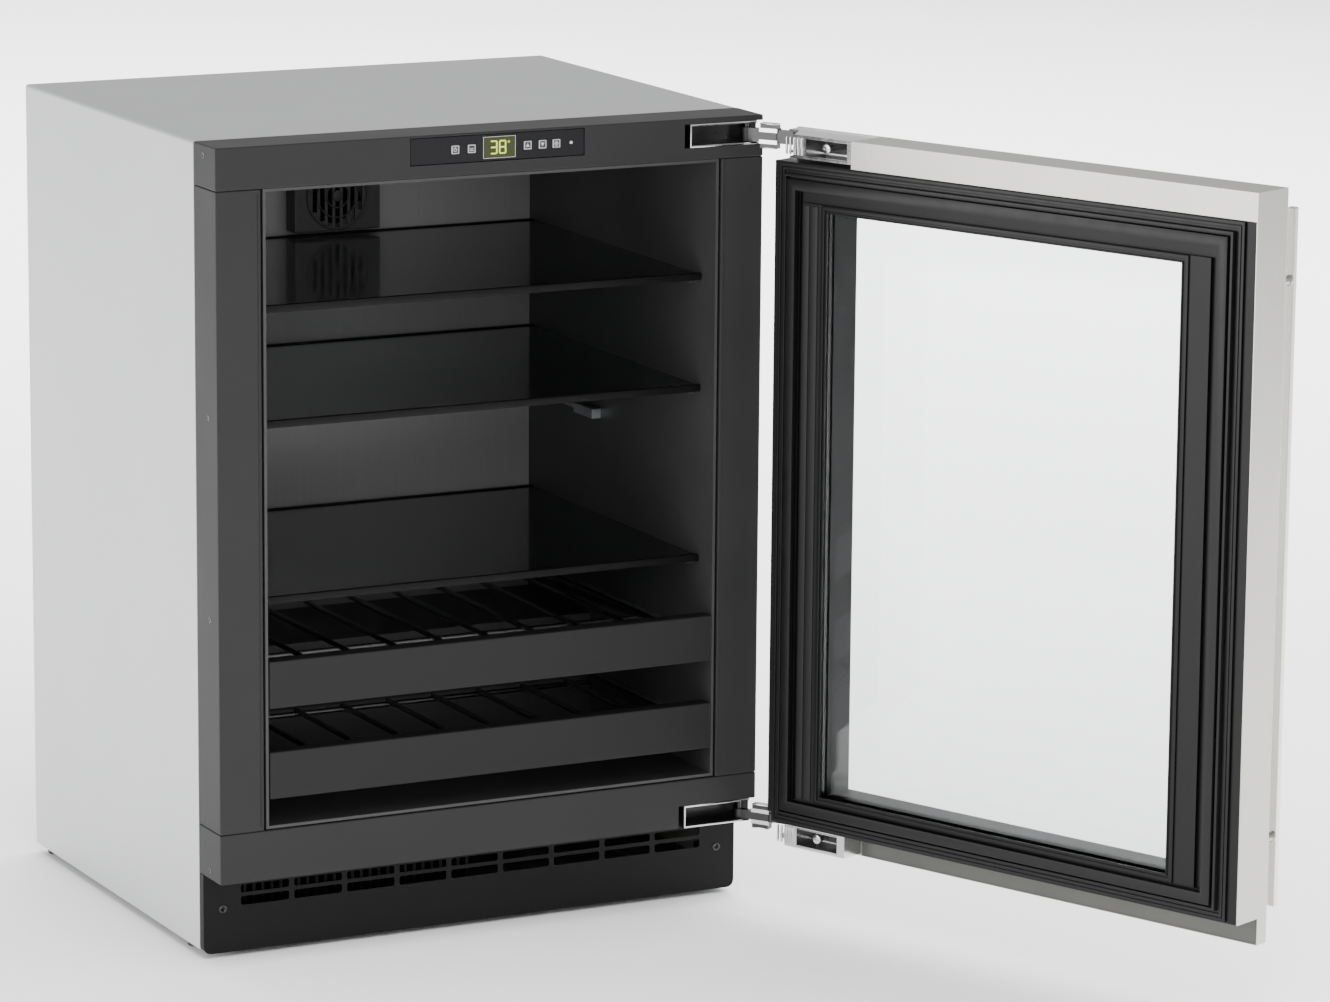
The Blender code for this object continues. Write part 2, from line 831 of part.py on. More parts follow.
def comb_outline(low, high, fins, solid):
    """A finned block seen along its fins: a back with thin plates standing on it."""
    x0, y0 = low
    x1, y1 = high
    pitch = (x1 - x0) / fins
    outline = [(x0, y1), (x0, y0)]
    for i in range(fins):
        start = x0 + i * pitch
        plate = start + pitch * 0.35
        outline.append((plate, y0))
        outline.append((plate, y1 - solid))
        if i < fins - 1:
            outline.append((start + pitch, y1 - solid))
            outline.append((start + pitch, y0))
        else:
            outline.append((x1, y1 - solid))
    outline.append((x1, y1))
    return outline


part(
    "evaporator",
    prism_mesh(
        comb_outline((-0.190, depth(DUCT_PLANE + 0.008)), (0.190, depth(LINER_BACK - GAP)), 30, 0.008),
        2,
        STEP_TOP + 0.055,
        FAN_Z - 0.055,
    ),
    ALUMINIUM,
)

# Temperature probe clipped along the right wall.
probe_z = SHELF_TOPS[1] - 0.070
probe_start = DUCT_PLANE - 0.1388
probe_x = LINER_IN - 0.0060
probe = part(
    "temperature_probe",
    rod_mesh(
        (probe_x, depth(probe_start), probe_z),
        (probe_x, depth(DUCT_PLANE - GAP), probe_z + 0.003),
        0.0028,
        12,
    ),
    GALVANISED,
)
join(
    probe,
    tool(
        "probe_head",
        box_mesh(
            (probe_x - 0.0050, depth(probe_start - 0.038), probe_z - 0.005),
            (LINER_IN - GAP, depth(probe_start + 0.006), probe_z + 0.005),
        ),
    ),
)

# ---------------------------------------------------------------- machine bay
compressor_spot = (0.2385 * WIDTH, depth((bay_front + DEPTH) / 2 + 0.004))
floor_of_bay = PAN_SHEET + GAP
dome_height = bay_top - floor_of_bay - 0.020
shell = [(0, dome_height), (0.020, dome_height), (0.045, dome_height * 0.94)]
shell += [(0.060, dome_height * 0.80), (0.064, dome_height * 0.62), (0.064, 0.040)]
shell += [(0.062, 0.026), (0.050, 0.016), (0, 0.016)]
compressor = part("compressor", turned_mesh(shell, compressor_spot, 32), BLACK_STEEL)
cx, cy = compressor_spot
join(
    compressor,
    tool(
        "compressor_feet",
        box_mesh((cx - 0.085, cy - 0.055, 0.012), (cx + 0.085, cy + 0.055, 0.017)),
    ),
)
for sx in (-1, 1):
    for sy in (-1, 1):
        join(
            compressor,
            tool(
                f"grommet_{sx}_{sy}",
                rod_mesh(
                    (cx + sx * 0.075, cy + sy * 0.045, floor_of_bay),
                    (cx + sx * 0.075, cy + sy * 0.045, 0.020),
                    0.008,
                    16,
                ),
            ),
        )

pan_x = -0.0740 * WIDTH
drain = part(
    "drain_pan",
    box_mesh(
        (pan_x - 0.085, depth(bay_front + 0.020), floor_of_bay),
        (pan_x + 0.085, depth(DEPTH - 0.040), floor_of_bay + 0.030),
    ),
    LINER_PLASTIC,
)
cut(
    drain,
    tool(
        "drain_hollow",
        box_mesh(
            (pan_x - 0.083, depth(bay_front + 0.022), floor_of_bay + 0.002),
            (pan_x + 0.083, depth(DEPTH - 0.042), floor_of_bay + 0.050),
        ),
    ),
)

box_x = -0.3536 * WIDTH
part(
    "control_box",
    box_mesh(
        (box_x - 0.055, depth(bay_front + 0.030), bay_top - 0.062),
        (box_x + 0.055, depth(DEPTH - 0.050), bay_top - GAP),
    ),
    GALVANISED,
)

condenser_x = -0.1974 * WIDTH
condenser_top = foam_under - 0.004
part(
    "condenser",
    prism_mesh(
        comb_outline(
            (condenser_x - 0.130, depth(0.070)), (condenser_x + 0.130, depth(0.112)), 26, 0.010
        ),
        2,
        floor_of_bay,
        condenser_top,
    ),
    ALUMINIUM,
)
cool_fan = (condenser_x, depth(0.136), (floor_of_bay + condenser_top) / 2)
fan_rotor("condenser_fan", cool_fan, 0.0345, 0.012, 0.009, 5, BLACK_STEEL)
fx, fy, fz = cool_fan
cool_motor = part(
    "condenser_fan_motor",
    rod_mesh((fx, fy + 0.0095, fz), (fx, fy + 0.040, fz), 0.020, ROUND),
    BLACK_STEEL,
)
join(
    cool_motor,
    tool(
        "cool_motor_leg",
        box_mesh((fx - 0.012, fy + 0.016, floor_of_bay), (fx + 0.012, fy + 0.030, fz)),
    ),
)

# Power inlet in the back panel: the cord plugs in here.
inlet_x = -0.3536 * WIDTH
inlet_z = 0.048
inlet = part(
    "power_inlet",
    box_mesh(
        (inlet_x - 0.0150, depth(DEPTH - 0.026), inlet_z - 0.0110),
        (inlet_x + 0.0150, depth(DEPTH - GAP), inlet_z + 0.0110),
    ),
    BLACK_STEEL,
)
cut(
    back_panel,
    tool(
        "inlet_opening",
        box_mesh(
            (inlet_x - 0.0150 - GAP, depth(DEPTH - 0.03), inlet_z - 0.0110 - GAP),
            (inlet_x + 0.0150 + GAP, depth(DEPTH + 0.01), inlet_z + 0.0110 + GAP),
        ),
    ),
)
cut(
    inlet,
    tool(
        "inlet_socket",
        prism_mesh(
            rounded((inlet_x - 0.0120, inlet_z - 0.0080), (inlet_x + 0.0120, inlet_z + 0.0080), 0.002, 2),
            1,
            depth(DEPTH - 0.017),
            depth(DEPTH + 0.01),
        ),
    ),
)
for i, (dx, dz) in enumerate(((-0.007, -0.002), (0.007, -0.002), (0.0, 0.003))):
    join(
        inlet,
        tool(
            f"inlet_pin_{i}",
            box_mesh(
                (inlet_x + dx - 0.001, depth(DEPTH - 0.020), inlet_z + dz - 0.002),
                (inlet_x + dx + 0.001, depth(DEPTH - 0.005), inlet_z + dz + 0.002),
            ),
        ),
    )

# ---------------------------------------------------------------- controls in the top rail
panel_z = HEIGHT - PANEL_DROP - PANEL_HEIGHT / 2
half_w = PANEL_WIDTH / 2
half_h = PANEL_HEIGHT / 2
cut(
    top_rail,
    tool(
        "panel_recess",
        box_mesh(
            (PANEL_X - half_w, depth(-0.01), panel_z - half_h),
            (PANEL_X + half_w, depth(PANEL_DEPTH), panel_z + half_h),
        ),
    ),
)
housing = part(
    "control_housing",
    box_mesh(
        (PANEL_X - half_w + 0.0008, depth(PANEL_SET), panel_z - half_h + 0.0008),
        (PANEL_X + half_w - 0.0008, depth(PANEL_DEPTH - GAP), panel_z + half_h - 0.0008),
    ),
    FRAME_PLASTIC,
)
button_depth = 0.0045
for number, x in enumerate(BUTTON_X, 1):
    half = BUTTON_SIZE / 2
    cut(
        housing,
        tool(
            f"button_well_{number}",
            box_mesh(
                (x - half - GAP, depth(-0.01), panel_z - half - GAP),
                (x + half + GAP, depth(PANEL_SET + button_depth + BUTTON_TRAVEL), panel_z + half + GAP),
            ),
        ),
    )
    button = part(
        f"button_{number}",
        prism_mesh(
            rounded((x - half, panel_z - half), (x + half, panel_z + half), 0.0012, 3),
            1,
            depth(PANEL_SET - 0.0004),
            depth(PANEL_SET + button_depth - 0.0004),
        ),
        BUTTON_GREY,
    )
    move_origin(button, (x, depth(PANEL_SET), panel_z))
lens_half = LENS_WIDTH / 2
cut(
    housing,
    tool(
        "lens_seat",
        box_mesh(
            (LENS_X - lens_half - GAP, depth(-0.01), panel_z - LENS_HEIGHT / 2 - GAP),
            (LENS_X + lens_half + GAP, depth(PANEL_SET + 0.003), panel_z + LENS_HEIGHT / 2 + GAP),
        ),
    ),
    tool(
        "led_seat",
        rod_mesh(
            (LED_X, depth(-0.01), panel_z),
            (LED_X, depth(PANEL_SET + 0.004), panel_z),
            LED_RADIUS + GAP,
            16,
        ),
    ),
)
part(
    "display_lens",
    box_mesh(
        (LENS_X - lens_half, depth(PANEL_SET - 0.0002), panel_z - LENS_HEIGHT / 2),
        (LENS_X + lens_half, depth(PANEL_SET + 0.003 - GAP), panel_z + LENS_HEIGHT / 2),
    ),
    LENS,
)
part(
    "status_led",
    rod_mesh(
        (LED_X, depth(PANEL_SET - 0.0004), panel_z),
        (LED_X, depth(PANEL_SET + 0.004 - GAP), panel_z),
        LED_RADIUS,
        16,
    ),
    LENS,
)

# ---------------------------------------------------------------- glass shelves
shelf_half = LINER_IN - 0.0012
for level, top in enumerate(SHELF_TOPS, 1):
    shelf = part(
        f"glass_shelf_{level}",
        box_mesh(
            (-shelf_half, depth(SHELF_FRONT), top - SHELF_GLASS),
            (shelf_half, depth(SHELF_BACK), top),
        ),
        GLASS,
    )
    ease(shelf, 0.0008, 1)

# ---------------------------------------------------------------- roll-out racks on side rails
rail_wall = LINER_IN - GAP
runner_out = rail_wall - RAIL_SHEET - 0.0008
runner_in = runner_out - RUNNER_WIDTH
for level, (bottom, deep, label) in enumerate(zip(RACK_BOTTOMS, RACK_DEPTHS, RACK_NAMES)):
    middle = bottom + 0.0165
    start = FASCIA_THICK + 0.0003
    stop = start + deep
    for hand, sign in (("left", -1), ("right", 1)):
        low = middle - RAIL_HEIGHT / 2
        high = middle + RAIL_HEIGHT / 2
        channel = [
            (sign * rail_wall, low),
            (sign * rail_wall, high),
            (sign * (rail_wall - RAIL_WIDTH), high),
            (sign * (rail_wall - RAIL_WIDTH), high - RAIL_SHEET),
            (sign * (rail_wall - RAIL_SHEET), high - RAIL_SHEET),
            (sign * (rail_wall - RAIL_SHEET), low + RAIL_SHEET),
            (sign * (rail_wall - RAIL_WIDTH), low + RAIL_SHEET),
            (sign * (rail_wall - RAIL_WIDTH), low),
        ]
        part(
            f"slide_rail_{label}_{hand}",
            prism_mesh(channel, 1, depth(start + 0.006), depth(stop)),
            GALVANISED,
        )
    rack = part(
        f"rack_{label}",
        box_mesh(
            (runner_in, depth(start), middle - RUNNER_HEIGHT / 2),
            (runner_out, depth(stop - 0.004), middle + RUNNER_HEIGHT / 2),
        ),
        WIRE_STEEL,
    )
    join(
        rack,
        tool(
            f"runner_{label}",
            box_mesh(
                (-runner_out, depth(start), middle - RUNNER_HEIGHT / 2),
                (-runner_in, depth(stop - 0.004), middle + RUNNER_HEIGHT / 2),
            ),
        ),
    )
    bars = (start + 0.004, start + 0.36 * deep, stop - 0.010)
    for i, along in enumerate(bars):
        join(
            rack,
            tool(
                f"bar_{label}_{i}",
                wire_mesh(
                    [
                        (-runner_in - 0.003, depth(along), middle - 0.0010),
                        (runner_in + 0.003, depth(along), middle - 0.0010),
                    ],
                    WIRE,
                ),
            ),
        )
    for i in range(WIRE_COUNT):
        x = (i - (WIRE_COUNT - 1) / 2) * (2 * runner_in) / WIRE_COUNT
        join(
            rack,
            tool(
                f"wire_{label}_{i}",
                wire_mesh(
                    [(x, depth(start + 0.001), middle + 0.0022), (x, depth(stop - 0.0055), middle + 0.0022)],
                    WIRE,
                ),
            ),
        )
    move_origin(rack, (0, depth(start), middle))
    fascia = part(
        f"rack_{label}_fascia",
        box_mesh(
            (-LINER_IN + 0.0010, depth(-0.0005), bottom),
            (LINER_IN - 0.0010, depth(FASCIA_THICK), bottom + FASCIA_HEIGHT),
        ),
        FASCIA_PAINT,
    )
    ease(fascia, 0.0012)
    move_origin(fascia, (0, depth(FASCIA_THICK), middle))

# ---------------------------------------------------------------- where the hinge pins go
# The door swings from closed to open as if about one vertical line, just outside its hinge edge.
# Each hinge reaches both positions with one arm: its cabinet pin and its door pin follow from that line.
swing = math.radians(DOOR_OPEN)
centre = Vector((SIDE - PIVOT_SIDE, -PIVOT_FRONT))
cabinet_pin = Vector((SIDE - CABINET_PIN_SIDE, CABINET_PIN_DEPTH))
to_cabinet = cabinet_pin - centre
bearing = math.atan2(to_cabinet.y, to_cabinet.x) + math.pi - swing / 2
pin_closed = centre + DOOR_PIN_REACH * Vector((math.cos(bearing), math.sin(bearing)))
pin_open = centre + DOOR_PIN_REACH * Vector(
    (math.cos(bearing + swing), math.sin(bearing + swing))
)
# Door coordinates: x from the hinge edge, k outwards from the door's inner face.
pin_x = SIDE - DOOR_SIDE_GAP - pin_closed.x
pin_k = -pin_closed.y - CLOSED_GAP

door_pivot = bpy.data.objects.new("door_pivot", None)
PARTS.objects.link(door_pivot)
door_pivot.location = (pin_open.x, depth(pin_open.y), 0)
door_pivot.rotation_euler = (0, 0, swing - math.pi)


def on_door(obj):
    """Hangs a piece built in door coordinates on the door pin, at the open angle."""
    for vertex in obj.data.vertices:
        vertex.co -= Vector((pin_x, pin_k, 0))
    obj.parent = door_pivot
    return obj


def door_part(name, mesh_builder, paint):
    return on_door(part(name, mesh_builder, paint))


def door_tool(name, mesh_builder):
    return on_door(tool(name, mesh_builder))


# ---------------------------------------------------------------- door
BIG = 0.05
return_k = DOOR_THICK - SKIN_RETURN
pocket_k = DOOR_THICK - 0.0045
skin = door_part(
    "door_skin",
    box_mesh((0, 0, SKIN_BOTTOM), (DOOR_WIDTH, DOOR_THICK, DOOR_TOP)),
    STAINLESS,
)
cut(
    skin,
    door_tool(
        "skin_hollow",
        box_mesh(
            (SKIN_SHEET, SKIN_SHEET, BODY_BOTTOM),
            (DOOR_WIDTH - SKIN_SHEET, DOOR_THICK - SKIN_SHEET, DOOR_TOP - SKIN_SHEET),
        ),
    ),
    door_tool(
        "skin_foot_hollow",
        box_mesh(
            (SKIN_SHEET, return_k + SKIN_SHEET, SKIN_BOTTOM + SKIN_SHEET),
            (DOOR_WIDTH - SKIN_SHEET, DOOR_THICK - SKIN_SHEET, BODY_BOTTOM + 0.005),
        ),
    ),
    door_tool(
        "skin_inner_face",
        box_mesh(
            (-BIG, -BIG, BODY_BOTTOM - 0.0001),
            (DOOR_WIDTH - SKIN_SHEET, return_k, LIP_BOTTOM),
        ),
    ),
    door_tool(
        "skin_below_body",
        box_mesh((-BIG, -BIG, 0), (DOOR_WIDTH + BIG, return_k, BODY_BOTTOM)),
    ),
    door_tool(
        "skin_window",
        box_mesh(
            (SKIN_WINDOW_SIDE, return_k, SKIN_BOTTOM + SKIN_WINDOW_BOTTOM),
            (DOOR_WIDTH - SKIN_WINDOW_SIDE, DOOR_THICK + BIG, DOOR_TOP - SKIN_WINDOW_TOP),
        ),
    ),
)

body_right = DOOR_WIDTH - SKIN_SHEET - GAP
body_top = LIP_BOTTOM - GAP
body_front = DOOR_THICK - SKIN_SHEET - GAP
sight_low = (SIGHT_SIDE, BODY_BOTTOM + SIGHT_BOTTOM)
sight_high = (DOOR_WIDTH - SIGHT_SIDE, LIP_BOTTOM - SIGHT_TOP)
body = door_part(
    "door_body",
    box_mesh((BODY_INSET, 0, BODY_BOTTOM + GAP), (body_right, body_front, body_top)),
    LINER_PLASTIC,
)
dyke = box_mesh(
    (DYKE_INSET, -DYKE_RISE, sight_low[1] - DYKE_LEG),
    (DOOR_WIDTH - DYKE_INSET, 0.002, sight_high[1] + DYKE_LEG),
)
join(body, door_tool("body_dyke", dyke))
outer_low = (SKIN_WINDOW_SIDE - OUTER_PANE_LAP, SKIN_BOTTOM + SKIN_WINDOW_BOTTOM - OUTER_PANE_LAP)
outer_high = (
    DOOR_WIDTH - SKIN_WINDOW_SIDE + OUTER_PANE_LAP,
    DOOR_TOP - SKIN_WINDOW_TOP + OUTER_PANE_LAP,
)
inner_low = (sight_low[0] - INNER_PANE_LAP, sight_low[1] - INNER_PANE_LAP)
inner_high = (sight_high[0] + INNER_PANE_LAP, sight_high[1] + INNER_PANE_LAP)
cut(
    body,
    door_tool(
        "sight_opening",
        box_mesh((sight_low[0], -BIG, sight_low[1]), (sight_high[0], BIG * 2, sight_high[1])),
    ),
    door_tool(
        "outer_pane_seat",
        box_mesh(
            (outer_low[0] - GAP, body_front - PANE - GAP, outer_low[1] - GAP),
            (outer_high[0] + GAP, BIG * 2, outer_high[1] + GAP),
        ),
    ),
    door_tool(
        "inner_pane_seat",
        box_mesh(
            (inner_low[0] - GAP, -BIG, inner_low[1] - GAP),
            (inner_high[0] + GAP, INNER_PANE_SET + PANE + GAP, inner_high[1] + GAP),
        ),
    ),
)
outer_pane = door_part(
    "glass_outer",
    box_mesh((outer_low[0], body_front - PANE, outer_low[1]), (outer_high[0], body_front, outer_high[1])),
    GLASS,
)
inner_pane = door_part(
    "glass_inner",
    box_mesh(
        (inner_low[0], INNER_PANE_SET, inner_low[1]),
        (inner_high[0], INNER_PANE_SET + PANE, inner_high[1]),
    ),
    GLASS,
)

# Gasket: a flat base ring with a raised magnetic strip.
gasket_low = (GASKET_INSET, BODY_BOTTOM + 0.002)
gasket_high = (DOOR_WIDTH - GASKET_INSET + 0.004, body_top - 0.0006)


def ring_mesh(low, high, inset_x, inset_z, k0, k1):
    """A rectangular ring in door coordinates, inset_x wide at the sides and inset_z at the ends."""
    outer = rounded(low, high, 0.004, 2)
    inner = rounded(
        (low[0] + inset_x, low[1] + inset_z), (high[0] - inset_x, high[1] - inset_z), 0.003, 2
    )
    return prism_mesh(outer, 1, k0, k1, inner)


gasket_out = -(CLOSED_GAP - 2 * GAP)
gasket = door_part(
    "door_gasket",
    ring_mesh(gasket_low, gasket_high, GASKET_WIDTH, GASKET_LEG, -0.005, -GAP),
    RUBBER,
)
strip_low = (gasket_low[0] + 0.0005, gasket_low[1] + 0.0005)
strip_high = (gasket_high[0] - 0.0005, gasket_high[1] - 0.0005)
join(
    gasket,
    door_tool(
        "gasket_strip",
        ring_mesh(strip_low, strip_high, GASKET_WIDTH * 0.45, GASKET_LEG * 0.5, gasket_out, -0.003),
    ),
)

# ---------------------------------------------------------------- hinges
pocket_x = POCKET_WIDTH


def stadium(start, end, first, last, half):
    """A bar with round ends, seen from above: an eye round each pin and straight flanks between."""
    along = (end - start).normalized()
    across = Vector((-along.y, along.x))
    base = math.degrees(math.atan2(along.y, along.x))
    spread_a = math.degrees(math.asin(half / first))
    spread_b = math.degrees(math.asin(half / last))
    outline = arc(start, first, base + spread_a, base + 360 - spread_a, 14)
    outline += arc(end, last, base - 180 + spread_b, base + 180 - spread_b, 14)
    return outline


def world(point):
    return Vector((point.x, depth(point.y)))


for label, (low, high) in cup_levels.items():
    # Cup: two plates and a back, let into the frame, with a pin between the plates.
    target = top_rail if label == "upper" else bottom_rail
    reach_low = low - GAP if label == "upper" else low - BIG
    cut(
        target,
        tool(
            f"hinge_pocket_{label}",
            box_mesh(
                (cup_left - CUP_MARGIN, depth(-0.01), reach_low),
                (cup_right + GAP, depth(CUP_DEPTH + GAP), high + GAP),
            ),
        ),
        tool(
            f"arm_way_out_{label}",
            box_mesh(
                (cup_right - 0.001, depth(-0.01), reach_low),
                (SIDE + 0.01, depth(CABINET_PIN_DEPTH + 0.006), high + GAP),
            ),
        ),
    )
    cup = part(
        f"hinge_cup_{label}",
        box_mesh((cup_left, depth(0.0005), low), (cup_right, depth(CUP_DEPTH), high)),
        CHROME,
    )
    cut(
        cup,
        tool(
            f"cup_hollow_{label}",
            box_mesh(
                (cup_left + 0.002, depth(-0.01), low + HINGE_PLATE),
                (cup_right + 0.01, depth(CUP_DEPTH - 0.003), high - HINGE_PLATE),
            ),
        ),
    )
    at = world(cabinet_pin)
    far = world(pin_open)
    join(
        cup,
        tool(
            f"cup_pin_{label}",
            rod_mesh((at.x, at.y, low + 0.001), (at.x, at.y, high - 0.001), PIN_RADIUS),
        ),
    )

    # Arm: a bored eye at each end between the plates, and a taller knuckle in the open between them.
    base, roof = bracket_levels[label]
    arm_low = max(low, base) + HINGE_PLATE + GAP
    arm_high = min(high, roof) - HINGE_PLATE - GAP
    arm = part(
        f"hinge_arm_{label}",
        prism_mesh(stadium(at, far, EYE_RADIUS, EYE_RADIUS, ARM_HALF), 2, arm_low, arm_high),
        BLACK_STEEL,
    )
    along = (far - at).normalized()
    across = Vector((-along.y, along.x))
    corners = []
    for reach, side_way in ((KNUCKLE_START, -1), (KNUCKLE_END, -1), (KNUCKLE_END, 1), (KNUCKLE_START, 1)):
        spot = at + reach * along + side_way * KNUCKLE_HALF * across
        corners.append((spot.x, spot.y))
    knuckle_low = (low + base) / 2
    knuckle_high = (high + roof) / 2
    join(arm, tool(f"knuckle_{label}", prism_mesh(corners, 2, knuckle_low, knuckle_high)))
    for end_name, spot in (("cabinet", at), ("door", far)):
        cut(
            arm,
            tool(
                f"arm_bore_{label}_{end_name}",
                rod_mesh(
                    (spot.x, spot.y, arm_low - 0.01),
                    (spot.x, spot.y, arm_high + 0.01),
                    PIN_RADIUS + PIN_FIT,
                ),
            ),
        )
    move_origin(arm, (at.x, at.y, (arm_low + arm_high) / 2))

    # Pocket in the door's corner for the bracket, and a notch in the door body where the arm passes.
    if label == "upper":
        pocket = ((-BIG, -BIG, LIP_BOTTOM - 0.0005), (pocket_x, pocket_k, DOOR_TOP + BIG))
    else:
        pocket = ((-BIG, -BIG, base - GAP), (pocket_x, pocket_k, BODY_BOTTOM))
        notch = ((-BIG, -BIG, BODY_BOTTOM - BIG), (BODY_NOTCH, pocket_k, high + 0.001))
        cut(body, door_tool("body_notch", box_mesh(*notch)))
        cut(skin, door_tool("skin_notch", box_mesh((-BIG, -BIG, base - GAP), notch[1])))
    cut(skin, door_tool(f"door_pocket_{label}", box_mesh(*pocket)))
    bracket = door_part(
        f"hinge_bracket_{label}",
        box_mesh((0.0006, 0.006, base), (pocket_x - GAP, pocket_k - GAP, roof)),
        CHROME,
    )
    block = pin_x + EYE_RADIUS + 0.002
    cut(
        bracket,
        door_tool(
            f"bracket_sweep_{label}",
            box_mesh((-BIG, -BIG, base + HINGE_PLATE), (block, BIG * 2, roof - HINGE_PLATE)),
        ),
        door_tool(
            f"bracket_plate_trim_{label}",
            prism_mesh(
                [
                    (-0.01, -0.01),
                    (block + 0.014, -0.01),
                    (block + 0.014, 0.010),
                    (block, pin_k - 0.0065),
                    (-0.01, pin_k - 0.0065),
                ],
                2,
                base - 0.01,
                roof + 0.01,
            ),
        ),
        door_tool(
            f"bracket_web_{label}",
            box_mesh(
                (block + 0.030, -BIG, base + HINGE_PLATE),
                (pocket_x - 0.010, pocket_k - 0.006, roof - HINGE_PLATE),
            ),
        ),
    )
    join(
        bracket,
        door_tool(
            f"bracket_pin_{label}",
            rod_mesh((pin_x, pin_k, base + 0.001), (pin_x, pin_k, roof - 0.001), PIN_RADIUS),
        ),
    )

# ---------------------------------------------------------------- handle
bar_x = DOOR_WIDTH - HANDLE_EDGE - HANDLE_WIDTH
bar_low = SKIN_BOTTOM + HANDLE_ENDS
bar_high = DOOR_TOP - HANDLE_ENDS - 0.0016
stand = DOOR_THICK + HANDLE_STAND
handle = door_part(
    "handle_bar",
    box_mesh((bar_x, stand, bar_low), (bar_x + HANDLE_WIDTH, stand + HANDLE_THICK, bar_high)),
    STAINLESS,
)
ease(handle, 0.0015)
for label, z in (("upper", bar_high - POST_INSET), ("lower", bar_low + POST_INSET)):
    middle = bar_x + HANDLE_WIDTH / 2
    door_part(
        f"handle_post_{label}",
        rod_mesh((middle, DOOR_THICK + GAP, z), (middle, stand - GAP, z), POST_RADIUS),
        STAINLESS,
    )
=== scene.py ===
# %% [markdown]
# # A built-in drinks cooler with its door open
# The solid model gives every part its place and size. This script keeps those parts, gives each a real finish,
# and adds the fine pieces that a solid model leaves out: gasket ribs, screws, key symbols, grille rings, links.

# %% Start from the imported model
import json
import math

import bpy
from mathutils import Matrix, Vector


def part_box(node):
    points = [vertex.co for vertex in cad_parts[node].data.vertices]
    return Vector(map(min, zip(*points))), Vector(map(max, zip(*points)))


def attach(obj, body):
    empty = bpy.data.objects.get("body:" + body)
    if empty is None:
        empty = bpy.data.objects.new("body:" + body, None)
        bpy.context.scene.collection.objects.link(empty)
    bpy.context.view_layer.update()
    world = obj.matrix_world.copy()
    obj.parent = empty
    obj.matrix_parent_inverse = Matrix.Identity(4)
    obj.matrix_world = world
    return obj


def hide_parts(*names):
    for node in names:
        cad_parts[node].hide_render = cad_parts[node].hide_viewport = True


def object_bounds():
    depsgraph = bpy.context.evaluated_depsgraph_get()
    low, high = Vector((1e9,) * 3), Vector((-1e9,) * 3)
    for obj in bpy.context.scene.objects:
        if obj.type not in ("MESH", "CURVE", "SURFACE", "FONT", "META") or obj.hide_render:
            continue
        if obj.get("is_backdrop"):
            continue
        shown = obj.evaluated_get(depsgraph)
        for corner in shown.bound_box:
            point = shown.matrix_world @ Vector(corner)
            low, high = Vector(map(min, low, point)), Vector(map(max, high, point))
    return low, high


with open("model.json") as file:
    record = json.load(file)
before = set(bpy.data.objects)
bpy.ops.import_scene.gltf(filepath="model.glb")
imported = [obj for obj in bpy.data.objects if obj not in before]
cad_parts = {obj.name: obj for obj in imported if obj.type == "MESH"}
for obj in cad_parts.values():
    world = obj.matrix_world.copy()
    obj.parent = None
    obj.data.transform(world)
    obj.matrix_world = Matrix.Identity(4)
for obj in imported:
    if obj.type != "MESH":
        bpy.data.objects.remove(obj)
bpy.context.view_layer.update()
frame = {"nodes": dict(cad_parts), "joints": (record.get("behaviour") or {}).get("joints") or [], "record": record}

nodes = frame["nodes"]
joints = {joint["name"]: joint for joint in frame["joints"]}
print("parts from the solid model:", len(nodes))

# %% [markdown]
# ## The camera
# A long lens from well back keeps the cabinet's sides nearly parallel. The camera stands to the left and above,
# so that the left side, the top, the open compartment and the inner face of the door all show.
# It is aimed with a direction and a small roll instead of a shifted lens, so that other views stay centred.

# %% Place the camera
face_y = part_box("frame_top_rail")[0].y
EYE = Vector((-2.4475, face_y - 5.140, 1.635))
YAW, PITCH, ROLL = 0.47474, -0.20510, 0.00855
LENS_MM, SENSOR_MM = 154.875, 36.0
ahead = Vector((math.sin(YAW) * math.cos(PITCH), math.cos(YAW) * math.cos(PITCH), math.sin(PITCH)))
level = Vector((math.cos(YAW), -math.sin(YAW), 0.0))
upright = level.cross(ahead)
right = math.cos(ROLL) * level + math.sin(ROLL) * upright
upright = right.cross(ahead)

lens = bpy.data.cameras.new("studio_camera")
lens.lens = LENS_MM
lens.sensor_width = SENSOR_MM
camera = bpy.data.objects.new("studio_camera", lens)
bpy.context.scene.collection.objects.link(camera)
turn = Matrix((right, upright, -ahead)).transposed().to_4x4()
camera.matrix_world = Matrix.Translation(EYE) @ turn
bpy.context.scene.camera = camera
print("camera distance to the cabinet:", round((EYE - Vector((0, 0, 0.4))).length, 2), "m")

# %% [markdown]
# ## Small tools for modelling
# Pieces are made the way one would by hand: add a primitive, select some faces, extrude or inset them, then round
# the edges. Selecting is done by a rule on each face's middle and normal, because there is no mouse here.

# %% Selecting and shaping
def deselect():
    if bpy.context.object and bpy.context.object.mode != "OBJECT":
        bpy.ops.object.mode_set(mode="OBJECT")
    bpy.ops.object.select_all(action="DESELECT")


def take(piece):
    """Makes one object the selected and active one."""
    deselect()
    piece.select_set(True)
    bpy.context.view_layer.objects.active = piece


def block(name, low, high):
    """A box between two corners, with its place in its mesh."""
    low, high = Vector(low), Vector(high)
    deselect()
    bpy.ops.mesh.primitive_cube_add(size=1, location=(low + high) / 2, scale=high - low)
    bpy.ops.object.transform_apply(location=True, rotation=True, scale=True)
    bpy.context.object.name = name
    return bpy.context.object


